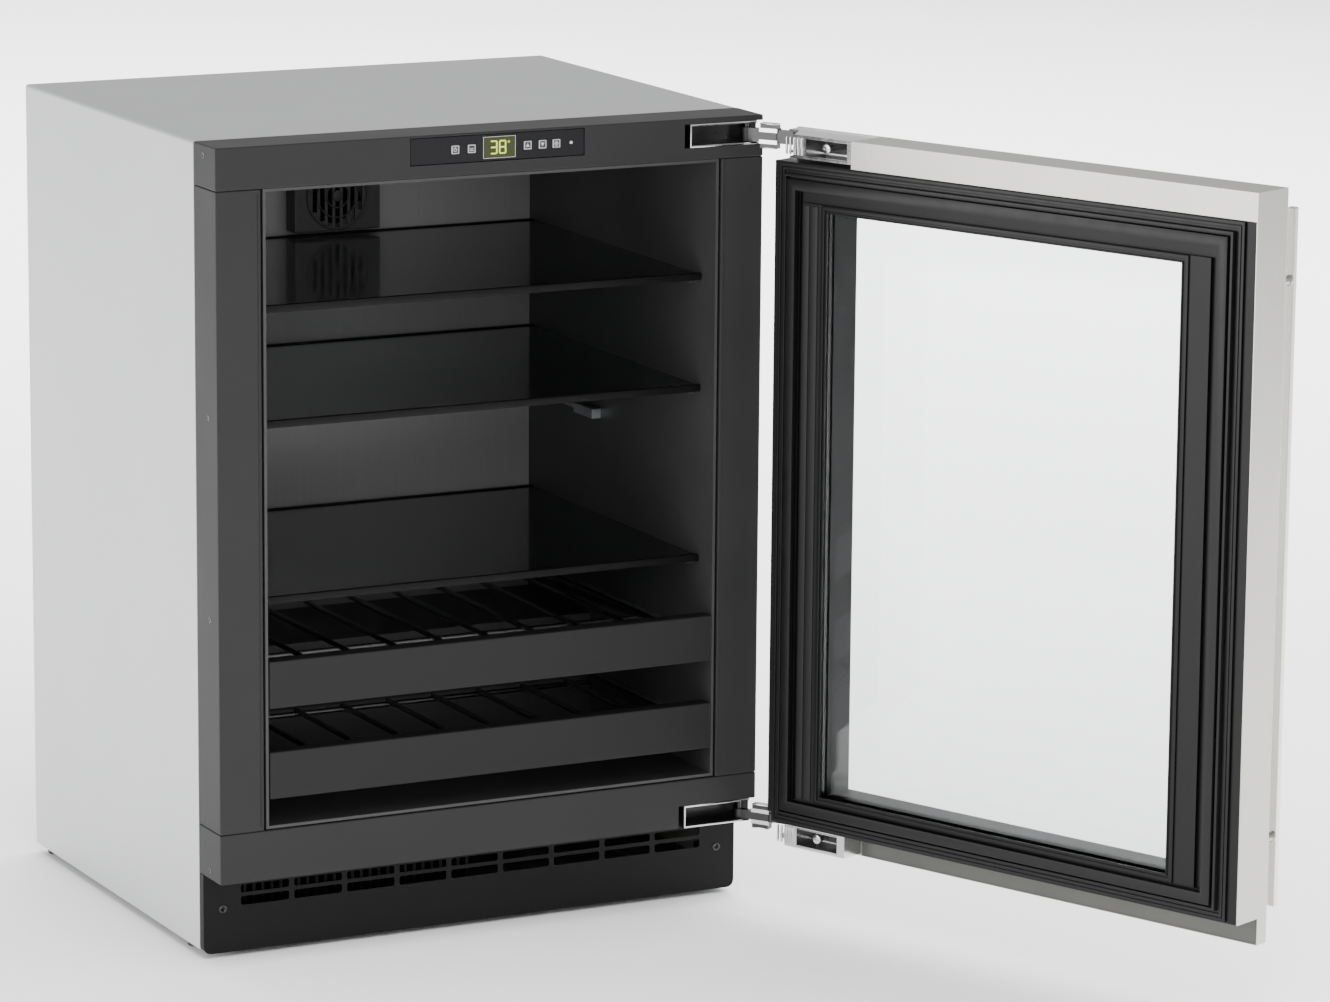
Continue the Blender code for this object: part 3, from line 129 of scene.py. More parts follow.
def disc(name, centre, axis, radius, length, sides=32):
    """A cylinder whose middle is at centre and whose axis runs along the given direction."""
    deselect()
    bpy.ops.mesh.primitive_cylinder_add(vertices=sides, radius=radius, depth=length)
    made = bpy.context.object
    made.name = name
    made.matrix_world = Matrix.Translation(centre) @ Vector(axis).to_track_quat("Z", "Y").to_matrix().to_4x4()
    bpy.ops.object.transform_apply(location=True, rotation=True, scale=True)
    return made


def pick_faces(piece, rule):
    """Opens edit mode with just the faces selected whose middle and normal fit the rule."""
    take(piece)
    bpy.context.tool_settings.mesh_select_mode = (False, False, True)
    for part in (piece.data.vertices, piece.data.edges, piece.data.polygons):
        part.foreach_set("select", [False] * len(part))
    for face in piece.data.polygons:
        face.select = bool(rule(face.center, face.normal))
    bpy.ops.object.mode_set(mode="EDIT")


def done():
    """Leaves edit mode."""
    bpy.ops.object.mode_set(mode="OBJECT")


def modify(piece, kind, **settings):
    """Adds a modifier and applies it."""
    take(piece)
    step = piece.modifiers.new(kind.lower(), kind)
    for name, value in settings.items():
        setattr(step, name, value)
    bpy.ops.object.modifier_apply(modifier=step.name)
    return piece


def ease(piece, width, segments=3, angle=30):
    """Rounds every edge sharper than the angle, and shades the rounds smooth."""
    modify(
        piece, "BEVEL", width=width, segments=segments, limit_method="ANGLE",
        angle_limit=math.radians(angle), harden_normals=False,
    )
    take(piece)
    bpy.ops.object.shade_smooth_by_angle(angle=math.radians(40))
    return piece


def subtract(piece, cutter):
    """Cuts one solid out of another and throws the cutter away."""
    modify(piece, "BOOLEAN", operation="DIFFERENCE", solver="EXACT", object=cutter)
    bpy.data.objects.remove(cutter, do_unlink=True)
    return piece


def merge(name, pieces):
    """Joins several meshes into one object."""
    deselect()
    for piece in pieces:
        piece.select_set(True)
    bpy.context.view_layer.objects.active = pieces[0]
    if len(pieces) > 1:
        bpy.ops.object.join()
    pieces[0].name = name
    return pieces[0]


def twin(piece, name, move):
    """A copy with its own mesh, set down somewhere else by a matrix."""
    mesh = piece.data.copy()
    mesh.transform(move)
    copy = bpy.data.objects.new(name, mesh)
    bpy.context.scene.collection.objects.link(copy)
    return copy


made_pieces = []  # the names of the finished pieces, for the count at the end


def finish_piece(piece, body, finish):
    """Gives a piece its material, and fixes it to the body that it moves with."""
    take(piece)
    bpy.ops.object.transform_apply(location=True, rotation=True, scale=True)
    piece.data.materials.clear()
    piece.data.materials.append(finish)
    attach(piece, body)
    made_pieces.append(piece.name)
    return piece


# %% [markdown]
# ## Small tools for materials
# A finish is a Principled shader with a few textures in front of it. Colours are written as sRGB hex values,
# and one function turns them into the linear light that the shader works in.

# %% Colours and nodes
def linear(code):
    """An sRGB hex colour as linear red, green, blue and alpha."""
    values = [int(code[i : i + 2], 16) / 255 for i in (0, 2, 4)]
    return [v / 12.92 if v <= 0.04045 else ((v + 0.055) / 1.055) ** 2.4 for v in values] + [1.0]


def add(tree, kind, sockets=None, **settings):
    """Adds a node with its settings. A socket's value may be a number or another node's output."""
    node = tree.nodes.new(kind)
    for name, value in settings.items():
        setattr(node, name, value)
    for name, value in (sockets or {}).items():
        if isinstance(value, bpy.types.NodeSocket):
            tree.links.new(value, node.inputs[name])
        else:
            node.inputs[name].default_value = value
    return node


def start_finish(name, code, metallic, roughness, **constants):
    """A new material: its tree, its shader, and Object coordinates in metres."""
    material = bpy.data.materials.new(name)
    material.use_nodes = True
    tree = material.node_tree
    shader = tree.nodes["Principled BSDF"]
    shader.inputs["Base Color"].default_value = linear(code)
    shader.inputs["Metallic"].default_value = metallic
    shader.inputs["Roughness"].default_value = roughness
    for label, value in constants.items():
        shader.inputs[label.replace("_", " ")].default_value = value
    place = add(tree, "ShaderNodeTexCoord").outputs["Object"]
    return material, tree, shader, place


def vary(tree, socket, factor, low, high):
    """Drives a socket between two values, or two hex colours, by a texture's 0 to 1."""
    if isinstance(low, str):
        ramp = add(tree, "ShaderNodeMix", {0: factor, 6: linear(low), 7: linear(high)}, data_type="RGBA")
        tree.links.new(ramp.outputs[2], socket)
    else:
        ramp = add(tree, "ShaderNodeMapRange", {"Value": factor, "To Min": low, "To Max": high})
        tree.links.new(ramp.outputs["Result"], socket)


def relief(tree, shader, height, depth_mm, strength=1.0):
    """Bumps the surface by a texture, depth in millimetres."""
    bump = add(tree, "ShaderNodeBump", {"Height": height, "Distance": depth_mm / 1000, "Strength": strength})
    tree.links.new(bump.outputs["Normal"], shader.inputs["Normal"])


finishes = {}

# %% [markdown]
# ## Finishes of the cabinet
# **Powder-coated sheet steel.** Paint powder melts on the sheet and settles with a faint orange peel, a ripple
# about a millimetre across. It gives the sides their soft silver-grey sheen. **Textured ABS.** The face frame and
# the toe kick are moulded against etched steel, which leaves a fine grain that scatters the light. **Polystyrene.**
# The liner is drawn over a mould from one warm sheet, so it is smoother, with a slow waviness and a satin shine.

# %% Powder coat on the case
coat, tree, shader, place = start_finish("powder_coated_steel", "C9CACB", 0.45, 0.38)
peel = add(tree, "ShaderNodeTexNoise", {"Vector": place, "Scale": 900.0, "Detail": 2.0}).outputs["Fac"]
cloud = add(tree, "ShaderNodeTexNoise", {"Vector": place, "Scale": 7.0, "Detail": 3.0}).outputs["Fac"]
vary(tree, shader.inputs["Base Color"], cloud, "C3C4C5", "CFD0D1")
vary(tree, shader.inputs["Roughness"], cloud, 0.36, 0.46)
relief(tree, shader, peel, 0.05, 0.5)
finishes["case_paint"] = coat

# %% Grained plastic of the frame and toe kick
abs_frame, tree, shader, place = start_finish(
    "moulded_abs_charcoal", "2D2D2E", 0.0, 0.50, Specular_IOR_Level=0.25
)
grain = add(tree, "ShaderNodeTexVoronoi", {"Vector": place, "Scale": 1400.0}, feature="SMOOTH_F1")
grain = grain.outputs["Distance"]
cloud = add(tree, "ShaderNodeTexNoise", {"Vector": place, "Scale": 11.0, "Detail": 4.0}).outputs["Fac"]
vary(tree, shader.inputs["Base Color"], cloud, "29292A", "313132")
vary(tree, shader.inputs["Roughness"], cloud, 0.46, 0.56)
relief(tree, shader, grain, 0.08, 0.5)
finishes["frame_plastic"] = abs_frame

# Near-black moulded ABS. On the toe kick this dark colour is partly painted shade of the recess under the door; the
# shelf trims, the condenser and the black plastic slot take it as their own black.
black_abs_and_toe_shade, tree, shader, place = start_finish(
    "moulded_abs_black_and_toe_shade", "080809", 0.0, 0.52, Specular_IOR_Level=0.2
)
grain = add(tree, "ShaderNodeTexVoronoi", {"Vector": place, "Scale": 1400.0}, feature="SMOOTH_F1")
grain = grain.outputs["Distance"]
dust = add(tree, "ShaderNodeTexNoise", {"Vector": place, "Scale": 25.0, "Detail": 5.0}).outputs["Fac"]
vary(tree, shader.inputs["Base Color"], dust, "060607", "0C0C0D")
vary(tree, shader.inputs["Roughness"], dust, 0.44, 0.58)
relief(tree, shader, grain, 0.08, 0.5)

# %% Formed polystyrene of the liner
liner, tree, shader, place = start_finish("vacuum_formed_polystyrene", "363637", 0.0, 0.40)
wave = add(tree, "ShaderNodeTexNoise", {"Vector": place, "Scale": 18.0, "Detail": 1.0}).outputs["Fac"]
fine = add(tree, "ShaderNodeTexNoise", {"Vector": place, "Scale": 1200.0, "Detail": 1.0}).outputs["Fac"]
vary(tree, shader.inputs["Base Color"], wave, "323233", "3B3B3C")
vary(tree, shader.inputs["Roughness"], fine, 0.36, 0.48)
relief(tree, shader, wave, 0.6, 0.25)
finishes["liner_plastic"] = liner

door_black, tree, shader, place = start_finish(
    "moulded_abs_door_black", "0C0C0D", 0.0, 0.40, Specular_IOR_Level=0.25
)
grain = add(tree, "ShaderNodeTexVoronoi", {"Vector": place, "Scale": 1500.0}, feature="SMOOTH_F1")
grain = grain.outputs["Distance"]
cloud = add(tree, "ShaderNodeTexNoise", {"Vector": place, "Scale": 14.0, "Detail": 3.0}).outputs["Fac"]
vary(tree, shader.inputs["Base Color"], cloud, "0A0A0B", "101011")
vary(tree, shader.inputs["Roughness"], cloud, 0.32, 0.44)
relief(tree, shader, grain, 0.05, 0.3)

# The duct cover is coloured light grey as painted light: the back wall is lit brighter than the liner round it, and
# this colour stands in for that light. The streaks are its brushed grain.
duct, tree, shader, place = start_finish("duct_sheet_painted_light", "989898", 0.2, 0.38)
brush = add(tree, "ShaderNodeMapping", {"Vector": place, "Scale": (900.0, 900.0, 12.0)}).outputs["Vector"]
streak = add(tree, "ShaderNodeTexNoise", {"Vector": brush, "Scale": 1.0, "Detail": 2.0}).outputs["Fac"]
vary(tree, shader.inputs["Roughness"], streak, 0.36, 0.48)
vary(tree, shader.inputs["Base Color"], streak, "929292", "9F9F9F")

# %% [markdown]
# ## Bright metal
# ** Brushed stainless steel.** A belt drags grit along the sheet and leaves long scratches. They are a tenth of a
# millimetre wide, drawn here ten times as coarse so that they show, and they run up the door. **The grip** is the
# same steel, polished finer. **Mill-finish steel** is the sheet as it left the rolls, dull, and coloured darker as
# painted shade under the door body.
# **Nickel-plated steel** on the hinges is smooth and bright, with faint wear where parts rub.
# **Zinc-coated sheet** at the back has frozen into crystals about 10 mm across, the spangle.

# %% Brushed stainless steel
stainless, tree, shader, place = start_finish("brushed_stainless_steel", "C9C8C3", 1.0, 0.30)
BRUSH_SCALE = (1000.0, 1000.0, 6.0)  # lines a millimetre wide, drawn out along the height
drag = add(tree, "ShaderNodeMapping", {"Vector": place, "Scale": BRUSH_SCALE}).outputs["Vector"]
lines = add(tree, "ShaderNodeTexNoise", {"Vector": drag, "Scale": 1.0, "Detail": 3.0}).outputs["Fac"]
smudge = add(tree, "ShaderNodeTexNoise", {"Vector": place, "Scale": 5.0, "Detail": 3.0}).outputs["Fac"]
tone = add(tree, "ShaderNodeMath", {0: smudge, 1: lines}, operation="MULTIPLY").outputs[0]
vary(tree, shader.inputs["Base Color"], tone, "B6B5AF", "DAD9D4")
vary(tree, shader.inputs["Roughness"], lines, 0.24, 0.46)
relief(tree, shader, lines, 0.02, 0.35)
finishes["stainless"] = stainless

# Dull steel for the skin's return, coloured dark as painted shade: the strip below the door body stands in shade.
return_steel_painted_shade, tree, shader, place = start_finish("mill_steel_painted_shade", "5F5F5D", 1.0, 0.46)
cloud = add(tree, "ShaderNodeTexNoise", {"Vector": place, "Scale": 30.0, "Detail": 3.0}).outputs["Fac"]
vary(tree, shader.inputs["Base Color"], cloud, "5A5A58", "656562")
vary(tree, shader.inputs["Roughness"], cloud, 0.42, 0.52)

handle_steel, tree, shader, place = start_finish("polished_handle_steel", "E6E5E1", 1.0, 0.22)
polish = add(tree, "ShaderNodeMapping", {"Vector": place, "Scale": BRUSH_SCALE}).outputs["Vector"]
lines = add(tree, "ShaderNodeTexNoise", {"Vector": polish, "Scale": 1.0, "Detail": 3.0}).outputs["Fac"]
vary(tree, shader.inputs["Base Color"], lines, "DCDBD6", "EFEEEA")
vary(tree, shader.inputs["Roughness"], lines, 0.18, 0.30)

nickel, tree, shader, place = start_finish("nickel_plated_steel", "D8D8D9", 1.0, 0.14)
rub = add(tree, "ShaderNodeTexNoise", {"Vector": place, "Scale": 220.0, "Detail": 3.0}).outputs["Fac"]
vary(tree, shader.inputs["Roughness"], rub, 0.10, 0.26)
relief(tree, shader, rub, 0.03, 0.3)
finishes["chrome"] = nickel

rods, tree, shader, place = start_finish("plated_wire", "6C6C6E", 1.0, 0.34)
rub = add(tree, "ShaderNodeTexNoise", {"Vector": place, "Scale": 300.0, "Detail": 2.0}).outputs["Fac"]
vary(tree, shader.inputs["Roughness"], rub, 0.22, 0.40)
finishes["wire_steel"] = rods

zinc, tree, shader, place = start_finish("zinc_coated_sheet", "A9ACAE", 1.0, 0.42)
spangle = add(tree, "ShaderNodeTexVoronoi", {"Vector": place, "Scale": 95.0}).outputs["Color"]
facet = add(tree, "ShaderNodeSeparateColor", {"Color": spangle}).outputs[0]
vary(tree, shader.inputs["Base Color"], facet, "9DA0A2", "B3B6B8")
vary(tree, shader.inputs["Roughness"], facet, 0.34, 0.52)
finishes["galvanised"] = zinc

fins, tree, shader, place = start_finish("mill_finish_aluminium", "C4C6C8", 1.0, 0.38)
roll = add(tree, "ShaderNodeTexNoise", {"Vector": place, "Scale": 160.0, "Detail": 2.0}).outputs["Fac"]
vary(tree, shader.inputs["Roughness"], roll, 0.32, 0.48)
finishes["aluminium"] = fins

# %% [markdown]
# ## Black metal, rubber and small plastics
# **Enamel** on the arms and the compressor flows out smooth and glossy. **Soft vinyl** of the gasket is dull, with
# a slight bloom. **Fascia enamel** on the rack fronts is a satin charcoal. The keys are moulded silicone.

# %% Enamel, vinyl and key rubber
enamel, tree, shader, place = start_finish(
    "black_enamel", "161617", 0.0, 0.30, Coat_Weight=0.3, Coat_Roughness=0.15
)
flow = add(tree, "ShaderNodeTexNoise", {"Vector": place, "Scale": 260.0, "Detail": 1.0}).outputs["Fac"]
vary(tree, shader.inputs["Roughness"], flow, 0.24, 0.38)
relief(tree, shader, flow, 0.05, 0.3)
finishes["black_steel"] = enamel
finishes["black_plastic"] = black_abs_and_toe_shade

vinyl, tree, shader, place = start_finish(
    "soft_vinyl_gasket", "0D0D0E", 0.0, 0.40, Specular_IOR_Level=0.3
)
bloom = add(tree, "ShaderNodeTexNoise", {"Vector": place, "Scale": 60.0, "Detail": 4.0}).outputs["Fac"]
vary(tree, shader.inputs["Base Color"], bloom, "0B0B0C", "111112")
vary(tree, shader.inputs["Roughness"], bloom, 0.32, 0.46)
finishes["rubber"] = vinyl

fascia, tree, shader, place = start_finish(
    "charcoal_fascia_enamel", "1E1E1F", 0.0, 0.46, Specular_IOR_Level=0.25
)
peel = add(tree, "ShaderNodeTexNoise", {"Vector": place, "Scale": 1000.0, "Detail": 2.0}).outputs["Fac"]
cloud = add(tree, "ShaderNodeTexNoise", {"Vector": place, "Scale": 9.0, "Detail": 2.0}).outputs["Fac"]
vary(tree, shader.inputs["Base Color"], cloud, "1B1B1C", "212122")
vary(tree, shader.inputs["Roughness"], cloud, 0.42, 0.52)
relief(tree, shader, peel, 0.04, 0.4)
finishes["fascia_paint"] = fascia

keys, tree, shader, place = start_finish("silicone_keys", "3A3A3C", 0.0, 0.52)
fine = add(tree, "ShaderNodeTexNoise", {"Vector": place, "Scale": 1500.0, "Detail": 1.0}).outputs["Fac"]
vary(tree, shader.inputs["Roughness"], fine, 0.45, 0.60)
finishes["button_grey"] = keys

strip, tree, shader, place = start_finish(
    "control_strip_film", "17171A", 0.0, 0.34, Specular_IOR_Level=0.25
)
fine = add(tree, "ShaderNodeTexNoise", {"Vector": place, "Scale": 1800.0, "Detail": 1.0}).outputs["Fac"]
vary(tree, shader.inputs["Roughness"], fine, 0.30, 0.42)
relief(tree, shader, fine, 0.02, 0.3)
finishes["panel_plastic"] = strip

foam, tree, shader, place = start_finish("rigid_foam", "D8CFA4", 0.0, 0.9)
cells = add(tree, "ShaderNodeTexVoronoi", {"Vector": place, "Scale": 900.0}).outputs["Distance"]
vary(tree, shader.inputs["Base Color"], cells, "C9BE8E", "E0D8B0")
relief(tree, shader, cells, 0.2, 0.5)
finishes["foam"] = foam

# %% [markdown]
# ## Glass and the display
# **Float glass** is clear and smooth, with a faint film. The shelves are **smoked glass**, coloured grey in the
# melt, so the wall looks darker through them, and faintly satin, so they mirror softly. **The display** is a tinted
# window over a lit reflector, so it glows a little, and its digits glow more.

# %% Float glass
GLASS_IOR = 1.5
glass, tree, shader, place = start_finish(
    "float_glass", "FBFCFD", 0.0, 0.0, Transmission_Weight=1.0, IOR=GLASS_IOR
)
film = add(tree, "ShaderNodeTexNoise", {"Vector": place, "Scale": 6.0, "Detail": 4.0}).outputs["Fac"]
vary(tree, shader.inputs["Roughness"], film, 0.0, 0.015)
finishes["glass"] = glass

smoked, tree, shader, place = start_finish(
    "smoked_float_glass", "8C8E8D", 0.0, 0.0, Transmission_Weight=1.0, IOR=GLASS_IOR
)
film = add(tree, "ShaderNodeTexNoise", {"Vector": place, "Scale": 9.0, "Detail": 3.0}).outputs["Fac"]
vary(tree, shader.inputs["Roughness"], film, 0.06, 0.12)

window, tree, shader, place = start_finish("display_window", "2E3407", 0.0, 0.18)
glow = add(tree, "ShaderNodeTexNoise", {"Vector": place, "Scale": 120.0, "Detail": 1.0}).outputs["Fac"]
vary(tree, shader.inputs["Base Color"], glow, "292F06", "363D0A")
shader.inputs["Emission Color"].default_value = linear("5C6810")
shader.inputs["Emission Strength"].default_value = 0.06
finishes["lens"] = window

lit, tree, shader, place = start_finish("lit_digits", "D8E85A", 0.0, 0.4)
glow = add(tree, "ShaderNodeTexNoise", {"Vector": place, "Scale": 300.0, "Detail": 1.0}).outputs["Fac"]
vary(tree, shader.inputs["Base Color"], glow, "D0E050", "E0F068")
shader.inputs["Emission Color"].default_value = linear("D8EC50")
shader.inputs["Emission Strength"].default_value = 0.55

ink, tree, shader, place = start_finish("printed_ink", "D6D6D8", 0.0, 0.55)
screen = add(tree, "ShaderNodeTexNoise", {"Vector": place, "Scale": 2500.0, "Detail": 1.0}).outputs["Fac"]
vary(tree, shader.inputs["Base Color"], screen, "CECED0", "DEDEE0")

# %% [markdown]
# ## Dressing the parts of the solid model
# Each part carries a slot name in the record, and most finishes go by slot. A few parts differ from the rest of
# their slot: the toe kick is darker, partly as painted shade of its recess, and the door's inner moulding is darker;
# the duct cover is a brushed sheet coloured light grey as painted light on the back wall; the shelves are smoked,
# the condenser is dipped in black paint, the hinge cups are black inside their bright lips, the status lamp has a
# white lens, and the grip is polished brighter than the door.

# %% Finish every carried-over part
slot_of = {entry["node"]: entry["material_slot"] for entry in frame["record"]["subparts"]}
for name, part in nodes.items():
    part.data.materials.clear()
    part.data.materials.append(finishes[slot_of[name]])
# The toe kick gets the near-black finish, partly as painted shade of its recess.
nodes["toe_kick"].data.materials[0] = black_abs_and_toe_shade
# The duct cover gets the light grey finish as painted light on the back wall.
nodes["duct_cover"].data.materials[0] = duct
nodes["condenser"].data.materials[0] = black_abs_and_toe_shade
nodes["door_body"].data.materials[0] = door_black
nodes["status_led"].data.materials[0] = ink
nodes["handle_bar"].data.materials[0] = handle_steel
for label in ("upper", "lower"):
    nodes[f"hinge_cup_{label}"].data.materials[0] = enamel
for number in (1, 2, 3):
    nodes[f"glass_shelf_{number}"].data.materials[0] = smoked
print("finishes in use:", len(set(slot_of.values())))

# %% [markdown]
# ## The door's own directions
# The door stands open, turned from the cabinet's axes, so its pieces are made flat as if closed and lying along X,
# and then carried to the door by one matrix. The matrix comes from the hinge joints: the arm turns the door pin
# round the cabinet pin, and the door turns round its own pin.

# %% Work out the door matrix
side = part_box("case_wrapper")[1].x
arm_pin = Vector(joints["hinge_arm_lower_swing"]["pos_m"])
door_pin = Vector(joints["door_swing"]["pos_m"])
ratio = frame["record"]["behaviour"]["couplings"][0]["ratio"]
door_turn = math.radians(joints["door_swing"]["range_deg"][0])
arm_turn = door_turn * ratio
closed_pin = arm_pin + Matrix.Rotation(arm_turn, 3, "Z") @ (door_pin - arm_pin)
SIDE_GAP, CLOSED_GAP = 0.002, 0.0105
pin_x = side - SIDE_GAP - closed_pin.x
pin_k = face_y - CLOSED_GAP - closed_pin.y
open_turn = -(door_turn + arm_turn)
DOOR = (
    Matrix.Translation((door_pin.x, door_pin.y, 0))
    @ Matrix.Rotation(open_turn - math.pi, 4, "Z")
    @ Matrix.Translation((-pin_x, -pin_k, 0))
)
FROM_DOOR = DOOR.inverted()


def door_box(name):
    """A door part's lowest and highest corner in the door's own directions: x from the hinge, y outwards, z up."""
    corners = [FROM_DOOR @ v.co for v in nodes[name].data.vertices]
    return (
        Vector(min(c[i] for c in corners) for i in range(3)),
        Vector(max(c[i] for c in corners) for i in range(3)),
    )


def onto_door(piece):
    """Carries a piece made flat to its place on the open door."""
    piece.data.transform(DOOR)
    piece.data.update()
    return piece


print("open angle:", round(math.degrees(open_turn), 2), "degrees")
print("door skin, own directions:", [tuple(round(v, 4) for v in c) for c in door_box("door_skin")])

# %% [markdown]
# ## The magnetic gasket
# The seal is an extruded vinyl strip, cut at 45 degrees and welded at the corners: a foot, a bellows and a bulb
# that holds the magnet. One flat rectangle is inset again and again, which gives rings with true mitres. Then each
# ring is pushed up to its own height, and a wall thickness makes it hollow like the real strip.

# %% Rings from a rectangle
def ringed_sheet(name, low, high, level_k, rows):
    """A rectangular ring whose rows, from the outside in, each have a width and a height above level_k."""
    deselect()
    bpy.ops.mesh.primitive_plane_add(size=1)
    piece = bpy.context.object
    piece.name = name
    width, height = high[0] - low[0], high[1] - low[1]
    piece.matrix_world = (
        Matrix.Translation(((low[0] + high[0]) / 2, level_k, (low[1] + high[1]) / 2))
        @ Matrix.Rotation(math.radians(90), 4, "X")
        @ Matrix.Diagonal((width, height, 1, 1))
    )
    bpy.ops.object.transform_apply(location=True, rotation=True, scale=True)
    bpy.ops.object.mode_set(mode="EDIT")
    bpy.ops.mesh.select_all(action="SELECT")
    for row_width, _ in rows:
        bpy.ops.mesh.inset(thickness=row_width, depth=0)
    bpy.ops.mesh.delete(type="FACE")
    done()

    def inset_of(point):
        return min(point.x - low[0], high[0] - point.x, point.z - low[1], high[1] - point.z)

    start = 0.0
    for row_width, rise in rows:
        if rise > 0:
            inner = start + row_width
            picked = lambda c, n, a=start, b=inner: (
                a < inset_of(c) < b and n.y < -0.9 and abs(c.y - level_k) < 1e-5
            )
            pick_faces(piece, picked)
            bpy.ops.mesh.extrude_region_move(TRANSFORM_OT_translate={"value": (0, -rise, 0)})
            done()
        start += row_width
    return piece


# Each row's width and height, in metres, from the foot's edge inwards. The fifth is the bellows, the seventh the bulb.
low, high = door_box("door_gasket")
rows = [
    (0.0030, 0.0016), (0.0010, 0.0004), (0.0030, 0.0016), (0.0030, 0.0004), (0.0028, 0.0062),
    (0.0024, 0.0010), (0.0108, 0.0080), (0.0012, 0.0006), (0.0008, 0.0016),
]
gasket = ringed_sheet("gasket_strip", (low.x, low.z), (high.x, high.z), high.y - 0.0008, rows)
modify(gasket, "SOLIDIFY", thickness=0.0007, offset=-1.0)
ease(gasket, 0.00045, 2)
onto_door(gasket)
finish_piece(gasket, "door", vinyl)
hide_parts("door_gasket")
print("gasket faces:", len(gasket.data.polygons))

# %% [markdown]
# ## The bead round the inner glass
# A moulded frame holds the inner pane. It steps down towards the glass in two ribs, which catch the light as fine
# bright lines round the window.

# %% Glazing bead
pane_low, pane_high = door_box("glass_inner")
LAP = 0.0045  # how far the moulding covers the pane's edge
BEAD_REACH = 0.0078  # from the edge of the opening to the bead's outer edge
sight_low = (pane_low.x + LAP, pane_low.z + LAP)
sight_high = (pane_high.x - LAP, pane_high.z - LAP)
body_low = door_box("door_body")[0]
rows = [(0.0040, 0.0016), (0.0022, 0.0004), (0.0016, 0.0018)]
bead = ringed_sheet(
    "window_bead",
    (sight_low[0] - BEAD_REACH, sight_low[1] - BEAD_REACH),
    (sight_high[0] + BEAD_REACH, sight_high[1] + BEAD_REACH),
    body_low.y - 0.0002,
    rows,
)
modify(bead, "SOLIDIFY", thickness=0.0010, offset=-1.0)
ease(bead, 0.0004, 2)
onto_door(bead)
finish_piece(bead, "door", door_black)
opening = [round(b - a, 3) for a, b in zip(sight_low, sight_high)]
print("window opening:", opening[0], "x", opening[1], "m")

# %% [markdown]
# ## Ribs of the inner moulding, and the return below it
# Two long ribs stiffen the door's moulding beside the hinge. They are strips with a rounded top, in a lighter
# charcoal than the moulding as a painted highlight along them. Below the moulding the steel skin turns back on itself,
# and there the sheet is left as it came from the mill, duller, and coloured darker than the brushed faces as painted
# shade under the door body, with its free edge folded.

# %% Ribs and return
RIB_SPANS = ((0.0512, 0.0590), (0.0616, 0.0700))  # from the door's hinge edge
RIB_PAST = 0.0060  # how far the ribs run past the window
face_k = body_low.y
ribs = []
for x0, x1 in RIB_SPANS:
    rib = block(
        "rib",
        (x0, face_k - 0.0012, sight_low[1] - RIB_PAST),
        (x1, face_k + 0.0005, sight_high[1] + RIB_PAST),
    )
    ribs.append(ease(rib, 0.0011, 4))
ribs = merge("door_ribs_painted_highlight", ribs)
onto_door(ribs)
# The ribs take the lighter charcoal finish, not the door's black, as a painted highlight on their ridges.
finish_piece(ribs, "door", fascia)

skin_low, skin_high = door_box("door_skin")
plate_high = door_box("hinge_bracket_lower")[1]
RETURN_DEPTH = 0.0158  # from the door's outer face back to the folded edge
return_k = skin_high.y - RETURN_DEPTH
under = block(
    "door_return_painted_shade",
    (plate_high.x + 0.001, return_k - 0.0005, skin_low.z + 0.0006),
    (skin_high.x - 0.0006, return_k - 0.0001, body_low.z - 0.0002),
)
pick_faces(under, lambda c, n: n.y < -0.9)
bpy.ops.mesh.inset(thickness=0.0016, depth=0)
bpy.ops.mesh.extrude_region_move(TRANSFORM_OT_translate={"value": (0, 0.0002, 0)})
done()
ease(under, 0.0002, 1)
onto_door(under)
# The return strip gets the dark steel as painted shade under the door body.
finish_piece(under, "door", return_steel_painted_shade)

# %% [markdown]
# ## Roll-out racks
# Each rack is a bed of plated rods welded to cross wires, carried on a flat runner at each side. The rods run front
# to back, so bottles lie between them. One rod is made, its ends rounded, and then copied across.

# %% Racks of rods
ROD_RADIUS = 0.0028
RUNNER_WIDTH = 0.0095
ROD_COUNT = 9
for label in ("upper", "lower"):
    low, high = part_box(f"rack_{label}")
    rod_z = high.z - ROD_RADIUS
    bar_z = rod_z - 0.0032
    front, back = low.y + 0.001, high.y - 0.0015
    parts = []
    for sign in (-1, 1):
        x0, x1 = sorted((sign * high.x, sign * (high.x - RUNNER_WIDTH)))
        runner = block("runner", (x0, low.y, low.z), (x1, high.y, low.z + 0.009))
        parts.append(ease(runner, 0.0010, 2))
    pitch = 2 * (high.x - RUNNER_WIDTH) / ROD_COUNT
    rod = disc("rod", (0, (front + back) / 2, rod_z), (0, 1, 0), ROD_RADIUS, back - front, 20)
    ease(rod, 0.0010, 2)
    for i in range(ROD_COUNT):
        parts.append(twin(rod, "rod", Matrix.Translation(((i - (ROD_COUNT - 1) / 2) * pitch, 0, 0))))
    bpy.data.objects.remove(rod, do_unlink=True)
    deep = high.y - low.y
    for along in (0.004, 0.36 * deep, deep - 0.006):
        bar_length = 2 * (high.x - RUNNER_WIDTH * 0.6)
        bar = disc("bar", (0, low.y + along, bar_z), (1, 0, 0), ROD_RADIUS, bar_length, 20)
        parts.append(ease(bar, 0.0008, 2))
    bed = merge(f"rack_{label}_bed", parts)
    finish_piece(bed, f"rack_{label}_body", rods)
    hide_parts(f"rack_{label}")
    print(f"{label} rack bed:", round(deep, 3), "m deep,", ROD_COUNT, "rods")

# %% [markdown]
# ## Shelf trims
# Each glass shelf has a black extrusion along its front and back edges. It is a channel that grips the glass: a
# bar with a groove cut along it, its outer edges rounded. A slim one is made for each edge.

